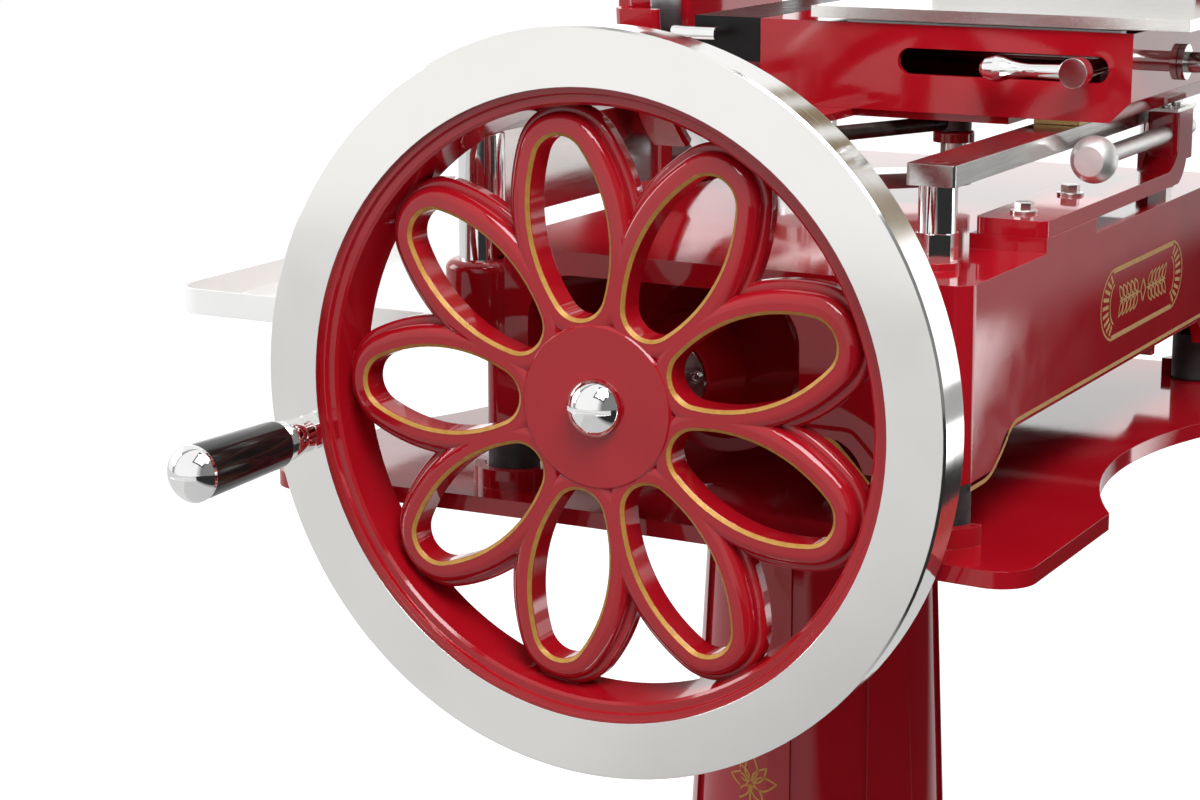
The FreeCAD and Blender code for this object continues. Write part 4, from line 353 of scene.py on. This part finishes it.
# %% [markdown]
# ## Red enamel
#
# Sprayed and baked enamel on a casting is deep, glossy and never quite flat: it has a fine orange
# peel a few millimetres across. The colour is a strong red with hardly any green in it. The pale,
# pinkish look of some faces is only the white room, mirrored in the gloss.

# %% Mix the red
red = new_finish("red_enamel", (0.39, 0.005, 0.013), 0.08)
tint(red, speckle(red, 7), (0.36, 0.004, 0.010), (0.42, 0.007, 0.016))
gloss(red, speckle(red, 23), 0.04, 0.09)
relief(red, speckle(red, 420, detail=1.5), 0.00003, 0.35)
print("enamel peels every", round(1000 / 420, 1), "mm")

# %% [markdown]
# ## The polished band of the wheel
#
# The rim was turned on a lathe and then polished, so under the shine are faint rings round the
# shaft. The distance from the shaft's line makes them: a sine of that distance is a set of rings.
# A slow noise changes the roughness and the colour a little, which breaks the mirror.

# %% Polish the band
low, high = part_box("flywheel_rim")
wheel_middle = (low + high) / 2
wheel_face = high.x
wheel_radius = (high.z - low.z) / 2


def ring_distance(material, middle, side="Y"):
    """How far a point is from a line through the middle; side and Z are square to that line."""
    where = add(material, "TexCoord").outputs["Object"]
    split = add(material, "SeparateXYZ", Vector=where)
    aside = calculate(material, "SUBTRACT", split.outputs[side], getattr(middle, side.lower()))
    above = calculate(material, "SUBTRACT", split.outputs["Z"], middle.z)
    squares = calculate(material, "ADD", calculate(material, "MULTIPLY", aside, aside),
                        calculate(material, "MULTIPLY", above, above))
    return calculate(material, "SQRT", squares)


band = new_finish("polished_band", (0.80, 0.79, 0.77), 0.1, Metallic=1.0)
from_shaft = ring_distance(band, wheel_middle)
turned_rings = calculate(band, "SINE", calculate(band, "MULTIPLY", from_shaft, 9000.0))
uneven = speckle(band, 14)
gloss(band, uneven, 0.07, 0.13)
tint(band, uneven, (0.78, 0.77, 0.75), (0.82, 0.81, 0.79))
relief(band, calculate(band, "ADD", turned_rings, speckle(band, 60)), 0.000004, 0.5)
print("wheel radius", round(wheel_radius, 3), "m, face at X", round(wheel_face, 3))

# %% [markdown]
# ## Chrome, steel and brass
#
# Posts, knobs and nuts are chromed: almost a mirror, with faint smears from hands. The table and
# the covers are brushed stainless sheet, so their noise is drawn out along one axis. The tray that
# takes the slices is blasted with fine beads: it is paler, and mirrors nothing clearly. The blade
# is ground, the rails are plain satin steel, gears and chain are blackened and oily, and the
# bushes are bronze.

# %% Plate the bright parts
chrome = new_finish("bright_chrome", (0.83, 0.83, 0.83), 0.06, Metallic=1.0)
smears = speckle(chrome, 45, (1, 1, 0.35))
gloss(chrome, smears, 0.035, 0.11)
tint(chrome, smears, (0.80, 0.80, 0.80), (0.86, 0.86, 0.85))
relief(chrome, speckle(chrome, 500, detail=1), 0.00001, 0.4)

# %% Brush the sheet metal
stainless = new_finish("stainless_sheet", (0.74, 0.73, 0.71), 0.26, Metallic=1.0)
brushed = speckle(stainless, 1400, (0.02, 1, 1), detail=4)
gloss(stainless, brushed, 0.13, 0.22)
tint(stainless, speckle(stainless, 9), (0.71, 0.70, 0.68), (0.77, 0.76, 0.74))
relief(stainless, brushed, 0.000004, 0.5)

# %% Blast the slice tray
blasted = new_finish("blasted_stainless", (0.90, 0.90, 0.89), 0.5, Metallic=0.75)
grain = speckle(blasted, 1300, detail=2)
gloss(blasted, grain, 0.44, 0.58)
tint(blasted, speckle(blasted, 8), (0.87, 0.87, 0.86), (0.92, 0.92, 0.91))
relief(blasted, grain, 0.00001, 0.5)

# %% Grind the blade and the steel
blade_low, blade_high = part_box("knife")
blade_middle = (blade_low + blade_high) / 2
blade = new_finish("ground_blade", (0.72, 0.72, 0.73), 0.18, Metallic=1.0)
from_axle = ring_distance(blade, blade_middle, "X")
ground = calculate(blade, "SINE", calculate(blade, "MULTIPLY", from_axle, 5200.0))
gloss(blade, speckle(blade, 30), 0.14, 0.24)
tint(blade, speckle(blade, 12), (0.69, 0.69, 0.70), (0.75, 0.75, 0.76))
relief(blade, ground, 0.000006, 0.6)

steel = new_finish("satin_steel", (0.60, 0.59, 0.57), 0.16, Metallic=1.0)
drawn = speckle(steel, 700, (0.03, 1, 1), detail=2)
gloss(steel, drawn, 0.12, 0.19)
tint(steel, speckle(steel, 15), (0.55, 0.54, 0.52), (0.64, 0.63, 0.61))
relief(steel, drawn, 0.000002, 0.5)

# %% Blacken the drive and turn the bushes
dark = new_finish("blackened_steel", (0.05, 0.05, 0.052), 0.4, Metallic=0.85)
oil = speckle(dark, 60)
gloss(dark, oil, 0.25, 0.55)
tint(dark, oil, (0.035, 0.034, 0.035), (0.085, 0.08, 0.075))
relief(dark, speckle(dark, 350), 0.00004, 0.5)

bronze = new_finish("turned_bronze", (0.42, 0.27, 0.11), 0.3, Metallic=1.0)
tint(bronze, speckle(bronze, 40), (0.36, 0.23, 0.09), (0.48, 0.31, 0.13))
gloss(bronze, speckle(bronze, 70), 0.22, 0.4)
relief(bronze, speckle(bronze, 900, (1, 1, 0.05)), 0.00002, 0.5)
print("metals ready:", [m.name for m in (chrome, stainless, blade, steel, dark, bronze)])

# %% [markdown]
# ## Black handle, rubber, stone and gold paint
#
# The grip is lacquered black and very glossy, the cover of the slide is powder coated in a satin
# black that mirrors little, and the rubber feet are matt with a fine grain. The sharpening stones
# are gritty, so their colour and their relief share one noise. The gold of the
# lines is bronze paint: more a pale brown than a metal, and slightly uneven from the brush.

# %% Mix the rest
lacquer = new_finish("black_lacquer", (0.008, 0.008, 0.008), 0.1)
tint(lacquer, speckle(lacquer, 35), (0.006, 0.006, 0.006), (0.013, 0.012, 0.012))
gloss(lacquer, speckle(lacquer, 50), 0.07, 0.16)
relief(lacquer, speckle(lacquer, 180, detail=1), 0.00006, 0.3)

satin_black = new_finish("satin_black", (0.006, 0.006, 0.006), 0.3, Specular_IOR_Level=0.2)
tint(satin_black, speckle(satin_black, 30), (0.004, 0.004, 0.004), (0.010, 0.009, 0.009))
gloss(satin_black, speckle(satin_black, 60), 0.24, 0.38)
relief(satin_black, speckle(satin_black, 700), 0.00003, 0.5)

rubber = new_finish("black_rubber", (0.02, 0.02, 0.02), 0.6)
tint(rubber, speckle(rubber, 80), (0.014, 0.014, 0.014), (0.032, 0.031, 0.03))
gloss(rubber, speckle(rubber, 120), 0.5, 0.75)
relief(rubber, speckle(rubber, 1500), 0.00015, 0.5)

stone = new_finish("sharpening_stone", (0.40, 0.38, 0.35), 0.85)
grit = speckle(stone, 1800, detail=6)
tint(stone, grit, (0.30, 0.29, 0.27), (0.50, 0.48, 0.44))
gloss(stone, grit, 0.75, 0.95)
relief(stone, grit, 0.0003, 0.8)

gold = new_finish("gold_paint", (0.47, 0.24, 0.05), 0.4, Metallic=0.2, Specular_IOR_Level=0.25)
tint(gold, speckle(gold, 160), (0.42, 0.21, 0.04), (0.53, 0.29, 0.07))
gloss(gold, speckle(gold, 300), 0.34, 0.48)
relief(gold, speckle(gold, 420, detail=1), 0.00005, 0.35, rounded_edges=False)
print("paints ready:", [m.name for m in (lacquer, satin_black, rubber, stone, gold)])

# %% [markdown]
# ## Turned aluminium
#
# The stop rod and its ball are turned and left as the tool leaves them: not polished, with a fine
# matt grain that blurs every mirror image.

# %% Mix the turned aluminium
turned_aluminium = new_finish("turned_aluminium", (0.86, 0.85, 0.84), 0.45, Metallic=0.85)
tint(turned_aluminium, speckle(turned_aluminium, 90), (0.82, 0.81, 0.80), (0.90, 0.89, 0.88))
gloss(turned_aluminium, speckle(turned_aluminium, 70), 0.38, 0.52)
relief(turned_aluminium, speckle(turned_aluminium, 1800), 0.00003, 0.8)
print("last finish:", turned_aluminium.name)

# %% [markdown]
# ## Dressing the parts
#
# The record of the model says which finish each part has. One table turns those names into our
# materials, and one loop hands them out. The cover of the slide and the slice tray then get the
# finishes made for them. Only the material changes: the shape stays as it was built.

# %% Hand out the finishes
finish_of = {
    "red_enamel": red,
    "polished_rim": band,
    "bright_chrome": chrome,
    "stainless": stainless,
    "blade_steel": blade,
    "machine_steel": steel,
    "dark_steel": dark,
    "black_plastic": lacquer,
    "black_rubber": rubber,
    "bronze": bronze,
    "grey_stone": stone,
}


def dress(part, material):
    """Gives a part one material in place of what it had."""
    part.data.materials.clear()
    part.data.materials.append(material)


for subpart in frame["record"]["subparts"]:
    dress(nodes[subpart["node"]], finish_of[subpart["material_slot"]])
dress(nodes["slide_cover"], satin_black)
dress(nodes["slice_tray"], blasted)

# %% [markdown]
# ## The grip
#
# The grip is turned from one blank: nearly straight, a little thicker at the outer end, with a
# rounded shoulder towards the wheel. A chromed sleeve joins it to the spindle. Both are outlines
# turned round the spindle's line: a list of (place along it, radius) pairs, spun by hand into rings
# of vertices. A bmesh is where such a mesh grows, and `finish_piece` makes an object of it and ties
# it to a body.

# %% Turn the grip
SLEEVE_LENGTH = 0.024
SLEEVE_RADIUS = 0.0118
SHOULDER = 0.0172
OUTER_END = 0.0197
BORE = 0.0062
SIDES = 72

grip_low, grip_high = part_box("handle_grip")
grip_line = (grip_low + grip_high) / 2


def finish_piece(name, work, material, body):
    """An object out of a bmesh, in one material, that moves with a body."""
    mesh = bpy.data.meshes.new(name)
    work.to_mesh(mesh)
    work.free()
    mesh.materials.append(material)
    piece = bpy.data.objects.new(name, mesh)
    bpy.context.scene.collection.objects.link(piece)
    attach(piece, body)
    return piece


def turned(name, outline, body, material):
    """A piece turned round the handle's line; the outline is closed into a ring."""
    work = bmesh.new()
    rings = []
    for number in range(SIDES):
        turn = 2 * math.pi * number / SIDES
        rings.append([work.verts.new((along, grip_line.y + radius * math.cos(turn),
                                      grip_line.z + radius * math.sin(turn)))
                      for along, radius in outline])
    for number, ring in enumerate(rings):
        after = rings[(number + 1) % SIDES]
        for first in range(len(outline)):
            last = (first + 1) % len(outline)
            face = work.faces.new((ring[first], ring[last], after[last], after[first]))
            face.smooth = True
    bmesh.ops.recalc_face_normals(work, faces=work.faces)
    print(name, "is", round((outline[-2][0] - outline[1][0]) * 1000), "mm long")
    return finish_piece(name, work, material, body)


def quarter(centre_along, centre_radius, radius, start, end, steps=6):
    """A rounded corner of an outline."""
    turns = [start + (end - start) * step / steps for step in range(steps + 1)]
    return [(centre_along + radius * math.cos(t), centre_radius + radius * math.sin(t))
            for t in turns]


start, end = grip_low.x, grip_high.x
sleeve_end = start + SLEEVE_LENGTH
grip_outline = [(sleeve_end, BORE)]
grip_outline += quarter(sleeve_end + 0.003, SHOULDER - 0.003, 0.003, math.pi, math.pi / 2)
grip_outline += quarter(end - 0.0012, OUTER_END - 0.0012, 0.0012, math.pi / 2, 0)
grip_outline.append((end, BORE))
barrel = turned("grip_barrel", grip_outline, "grip", lacquer)
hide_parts("handle_grip")

sleeve_outline = [(start, BORE), (start, SLEEVE_RADIUS)]
sleeve_outline += quarter(start + 0.001, 0.0122, 0.001, math.pi, math.pi * 0.55)
sleeve_outline += [(sleeve_end - 0.0002, SHOULDER - 0.0012), (sleeve_end - 0.0002, BORE)]
turned("grip_sleeve", sleeve_outline, "grip", chrome)

# %% [markdown]
# ## The knurled ball
#
# The stop rod ends in a ball with a flat nose. Its front is smooth, and a belt behind the middle is
# rolled with straight teeth, so that greasy fingers can turn it. A bump in the shader would vanish
# at the edge of the ball, so the teeth are cut into the shape: the rod is an outline turned in
# rings like the grip, and in the belt every ring dips in and out, four vertices to a tooth.

# %% Turn the rod and roll the teeth
TEETH = 64
TOOTH_DEPTH = 0.0008
STEM_RADIUS = 0.007
NOSE = 0.78
BELT = (-0.50, 0.02)
ARC_STEPS = 60
AROUND = 4 * TEETH

rod_low, rod_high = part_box("regulator_rod")
rod_line = (rod_low + rod_high) / 2
ball_radius = (rod_high.z - rod_low.z) / 2
ball_middle = rod_high.x - ball_radius * NOSE


def dip(along, number):
    """How far a vertex of the belt lies below the ball; nothing outside the belt."""
    share = (along - ball_middle) / ball_radius
    if not BELT[0] < share < BELT[1]:
        return 0.0
    return TOOTH_DEPTH * (0.0, 0.5, 1.0, 0.5)[number % 4]


first_turn = math.pi - math.asin(STEM_RADIUS / ball_radius)
last_turn = math.acos(NOSE)
rod_outline = [(rod_low.x, STEM_RADIUS)]
for step in range(ARC_STEPS + 1):
    turn = first_turn + (last_turn - first_turn) * step / ARC_STEPS
    rod_outline.append((ball_middle + ball_radius * math.cos(turn), ball_radius * math.sin(turn)))

work = bmesh.new()
rod_rings = []
for along, radius in rod_outline:
    ring = []
    for number in range(AROUND):
        turn = 2 * math.pi * number / AROUND
        reach = radius - dip(along, number)
        ring.append(work.verts.new((along, rod_line.y + reach * math.cos(turn),
                                    rod_line.z + reach * math.sin(turn))))
    rod_rings.append(ring)
for ring, after in zip(rod_rings, rod_rings[1:]):
    for number in range(AROUND):
        following = (number + 1) % AROUND
        side = work.faces.new((ring[number], ring[following], after[following], after[number]))
        side.smooth = True
for ring in (rod_rings[0], rod_rings[-1]):
    for edge in work.faces.new(ring).edges:
        edge.smooth = False
bmesh.ops.recalc_face_normals(work, faces=work.faces)
knurled_ball = finish_piece("knurled_ball", work, turned_aluminium, "regulator")
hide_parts("regulator_rod")
print("ball is", round(ball_radius * 2000), "mm across, with", TEETH, "teeth")

# %% [markdown]
# ## A helper for painted lines
#
# A painted line is a flat ribbon that lies on the surface, two tenths of a millimetre proud. A
# texture would need UVs, which solids from CAD don't have, and a ribbon stays sharp from any
# distance. The helper takes the two edges of the ribbon as lists of points and joins them.

# %% Make ribbons
PAINT = 0.0002


def ribbon(name, bands, body):
    """One gold piece out of several strips; each band is a pair of edges of equal length."""
    work = bmesh.new()
    for first, second, closed in bands:
        rows = [(work.verts.new(a), work.verts.new(b)) for a, b in zip(first, second)]
        steps = len(rows) if closed else len(rows) - 1
        for number in range(steps):
            after = (number + 1) % len(rows)
            work.faces.new((rows[number][0], rows[after][0], rows[after][1], rows[number][1]))
    print(name, "has", len(work.faces), "faces")
    return finish_piece(name, work, gold, body)


# %% [markdown]
# ## Gold lines in the petals
#
# Each of the nine openings has a sloping edge at its front, and the gold line lies on that slope.
# The openings are ovals of four arcs: two round ends and two long sides. A point on such an oval,
# grown by some distance, is its arc's centre plus the arc's radius plus that distance, so the same
# function gives both edges of the line.

# %% Paint the petals
PETALS = 9
PETAL_STEP = 0.015
petal_middle = 0.124
petal_half_length = 0.0625
petal_half_width = petal_middle * math.sin(math.pi / PETALS) * 0.695
petal_end = 0.019
petal_slope = 0.0025
petal_face = wheel_face - PETAL_STEP

run = petal_half_length - petal_end
petal_side = ((run ** 2 + petal_half_width ** 2 - petal_end ** 2)
              / (2 * (petal_half_width - petal_end)))
lean = math.atan2(petal_side - petal_half_width, run)


def oval(grown, steps=14):
    """Points round one opening, grown by a distance: along the petal, and across it."""
    arcs = [
        (run, 0.0, petal_end, -lean, lean),
        (0.0, petal_half_width - petal_side, petal_side, lean, math.pi - lean),
        (-run, 0.0, petal_end, math.pi - lean, math.pi + lean),
        (0.0, petal_side - petal_half_width, petal_side, math.pi + lean, 2 * math.pi - lean),
    ]
    points = []
    for centre_along, centre_across, radius, start, end in arcs:
        for step in range(steps):
            turn = start + (end - start) * step / steps
            points.append((centre_along + (radius + grown) * math.cos(turn),
                           centre_across + (radius + grown) * math.sin(turn)))
    return points


def on_wheel(point, level, angle):
    """A point of a petal in the machine's frame; level is its place along the shaft."""
    out = petal_middle + point[0]
    return Vector((level, wheel_middle.y + out * math.cos(angle) - point[1] * math.sin(angle),
                   wheel_middle.z + out * math.sin(angle) + point[1] * math.cos(angle)))


petal_bands = []
for number in range(PETALS):
    angle = math.pi + number * 2 * math.pi / PETALS
    inner = [on_wheel(p, petal_face - petal_slope + 3 * PAINT, angle) for p in oval(PAINT)]
    outer = [on_wheel(p, petal_face + PAINT, angle) for p in oval(petal_slope + PAINT)]
    petal_bands.append((inner, outer, True))
ribbon("petal_lines", petal_bands, "flywheel")

# %% [markdown]
# ## Gold lines on the casting
#
# A line follows the arch under the long side of the casting and under its end behind the wheel:
# along the top of the arch, then down in an S to the leg and out to the corner. We write it as a
# few corners and round each of them with a short curve, the way a liner's brush does.

# %% Paint the casting
LINE_WIDTH = 0.0032
BOLT_REACH = 0.016

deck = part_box("stand_bolts")[0].z + BOLT_REACH
casting_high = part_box("base_casting")[1]


def rounded(corners, reach, steps=6):
    """A line whose corners are replaced by short curves that start this far before them."""
    line = [corners[0]]
    for before, corner, after in zip(corners, corners[1:], corners[2:]):
        start = corner + (before - corner).normalized() * reach
        end = corner + (after - corner).normalized() * reach
        for step in range(steps + 1):
            t = step / steps
            line.append(start * (1 - t) ** 2 + corner * 2 * t * (1 - t) + end * t ** 2)
    return line + [corners[-1]]


def brush(line, width):
    """The two edges of a line of paint, in the plane that it was written in."""
    left, right = [], []
    for number, point in enumerate(line):
        ahead = line[min(number + 1, len(line) - 1)] - line[max(number - 1, 0)]
        across = Vector((-ahead.y, ahead.x)).normalized() * width / 2
        left.append(point + across)
        right.append(point - across)
    return left, right


def lay(line, width, spot):
    """A band of a ribbon; spot turns a point of the drawing into one on the machine."""
    left, right = brush(line, width)
    return ([spot(p) for p in left], [spot(p) for p in right], False)


def on_side(point):
    """A drawing on the long side: along the machine, and above the plate that it stands on."""
    return Vector((point.x, casting_high.y + PAINT, deck + point.y))


def on_end(point):
    """A drawing on the end behind the wheel: across the machine, and above the plate."""
    return Vector((casting_high.x + PAINT, point.x, deck + point.y))


side_line = rounded([Vector(p) for p in (
    (0.299, 0.049), (0.262, 0.049), (0.236, 0.064), (0.219, 0.079), (0.160, 0.079),
    (-0.238, 0.079))], 0.012)
end_line = rounded([Vector(p) for p in (
    (0.176, 0.051), (0.160, 0.068), (0.149, 0.079), (0.02, 0.079))], 0.006)
ribbon("casting_lines", [lay(side_line, LINE_WIDTH, on_side),
                                 lay(end_line, LINE_WIDTH, on_end)], "machine")
print("deck at", round(deck, 3), "m, long side at Y", round(casting_high.y, 3))

# %% [markdown]
# ## An ornament on the long side
#
# Old machines carry a gilt cartouche here: two straight bars between two fans of short rays. Ours
# frames a plain laurel twig. Each fan is nine rays that spread from a hollow curve, and an outline
# ties them together. A leaf is a pointed outline: up one side and down the other. Everything is
# drawn flat with the same brush, once for the right half and once mirrored.

# %% Draw the cartouche
CARTOUCHE_MIDDLE = Vector((-0.073, 0.127))
CARTOUCHE_HALF = Vector((0.104, 0.026))
RAYS = 9
LEAF_PAIRS = 5


def arc(centre, radius_along, radius_up, start, end, steps=16):
    """Part of an ellipse, as a line."""
    turns = [start + (end - start) * step / steps for step in range(steps + 1)]
    return [centre + Vector((radius_along * math.cos(t), radius_up * math.sin(t))) for t in turns]


def leaf(turn, length, width, root=0.12, steps=10):
    """A pointed leaf: up one side and down the other, turned from straight up."""
    line = []
    for step in range(-steps, steps + 1):
        along = 1 - abs(step) / steps
        across = math.copysign(width / 2 * math.sin(math.pi * along ** 0.75), step)
        out = (root + along * (1 - root)) * length
        line.append(Vector((out * math.sin(turn) + across * math.cos(turn),
                            out * math.cos(turn) - across * math.sin(turn))))
    return line


def half_cartouche():
    """Lines of the right half, round the middle: (line, width)."""
    reach, rise = CARTOUCHE_HALF
    lines = []
    for height in (rise, -rise):
        lines.append(([Vector((0, height)), Vector((reach * 0.74, height))], 0.0040))
    fan = Vector((reach * 0.66, 0))
    outer = arc(fan, reach * 0.34, rise * 1.08, -1.35, 1.35)
    inner = arc(fan, reach * 0.13, rise * 0.62, -1.25, 1.25)
    lines += [(outer, 0.0018), (inner, 0.0016)]
    for number in range(RAYS):
        turn = -1.12 + 2.24 * number / (RAYS - 1)
        start = fan + Vector((reach * 0.17 * math.cos(turn), rise * 0.70 * math.sin(turn)))
        end = fan + Vector((reach * 0.30 * math.cos(turn), rise * 0.98 * math.sin(turn)))
        lines.append(([start, (start + end) / 2, end], 0.0030))
    stem = [Vector((reach * 0.09, 0)), Vector((reach * 0.56, 0))]
    lines.append((stem, 0.0014))
    for number in range(LEAF_PAIRS):
        root = Vector((reach * (0.12 + 0.09 * number), 0))
        for up in (1, -1):
            sprig = leaf(math.pi / 2 - up * 0.85, rise * 0.62, rise * 0.26)
            lines.append(([root + p for p in sprig], 0.0015))
    diamond = [Vector((0, rise * 0.34)), Vector((reach * 0.06, 0)), Vector((0, -rise * 0.34))]
    lines.append((diamond, 0.0022))
    return lines


cartouche = []
for line, width in half_cartouche():
    for side in (1, -1):
        placed = [CARTOUCHE_MIDDLE + Vector((side * p.x, p.y)) for p in line]
        cartouche.append(lay(placed, width, on_side))
ribbon("side_ornament", cartouche, "machine")

# %% [markdown]
# ## A flower on the column
#
# A small lotus is painted on the column, on the side of the wheel. Its seven leaves are pointed
# outlines round one spot, with a stem and two curls below. The column is round and tapers, so after
# drawing it flat we look for the surface: from well outside we shoot a ray at the column's middle,
# and the point that it hits, two tenths further out, carries the paint.

# %% Draw the flower
FLOWER_SIZE = 0.041
FLOWER_HEIGHT = 0.497
LINE = 0.0015
FLOWER_TURN = math.radians(-8)

column = nodes["pedestal_column"]
column_low, column_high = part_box("pedestal_column")
column_radius = (column_high.y - column_low.y) / 2
to_column = column.matrix_world.inverted()


def on_column(point):
    """A drawing wrapped round the column: round it, and above the flower's middle."""
    turn = FLOWER_TURN + point.x / (column_radius * 0.8)
    outward = Vector((math.cos(turn), math.sin(turn), 0))
    start = outward * 0.3 + Vector((0, 0, FLOWER_HEIGHT + point.y))
    surface = column.ray_cast(to_column @ start, to_column.to_3x3() @ -outward)[1]
    return column.matrix_world @ surface + outward * PAINT


flower = [lay(leaf(0, FLOWER_SIZE * 0.62, FLOWER_SIZE * 0.28), LINE, on_column)]
for side in (1, -1):
    for turn, length, width in ((0.72, 0.50, 0.20), (1.42, 0.54, 0.28), (2.45, 0.44, 0.16)):
        outline = leaf(side * turn, FLOWER_SIZE * length, FLOWER_SIZE * width)
        flower.append(lay(outline, LINE, on_column))
    curl = arc(Vector((side * FLOWER_SIZE * 0.13, -FLOWER_SIZE * 0.52)), FLOWER_SIZE * 0.13,
               FLOWER_SIZE * 0.11, 0, math.pi * 1.1)
    flower.append(lay(curl, LINE, on_column))
flower.append(lay([Vector((0, 0)), Vector((0, -FLOWER_SIZE * 0.70))], LINE, on_column))
ribbon("column_flower", flower, "machine")

# %% [markdown]
# ## Finish

# Nothing that we added may grow the machine.

# %% Finish
print("the slicer is dressed")
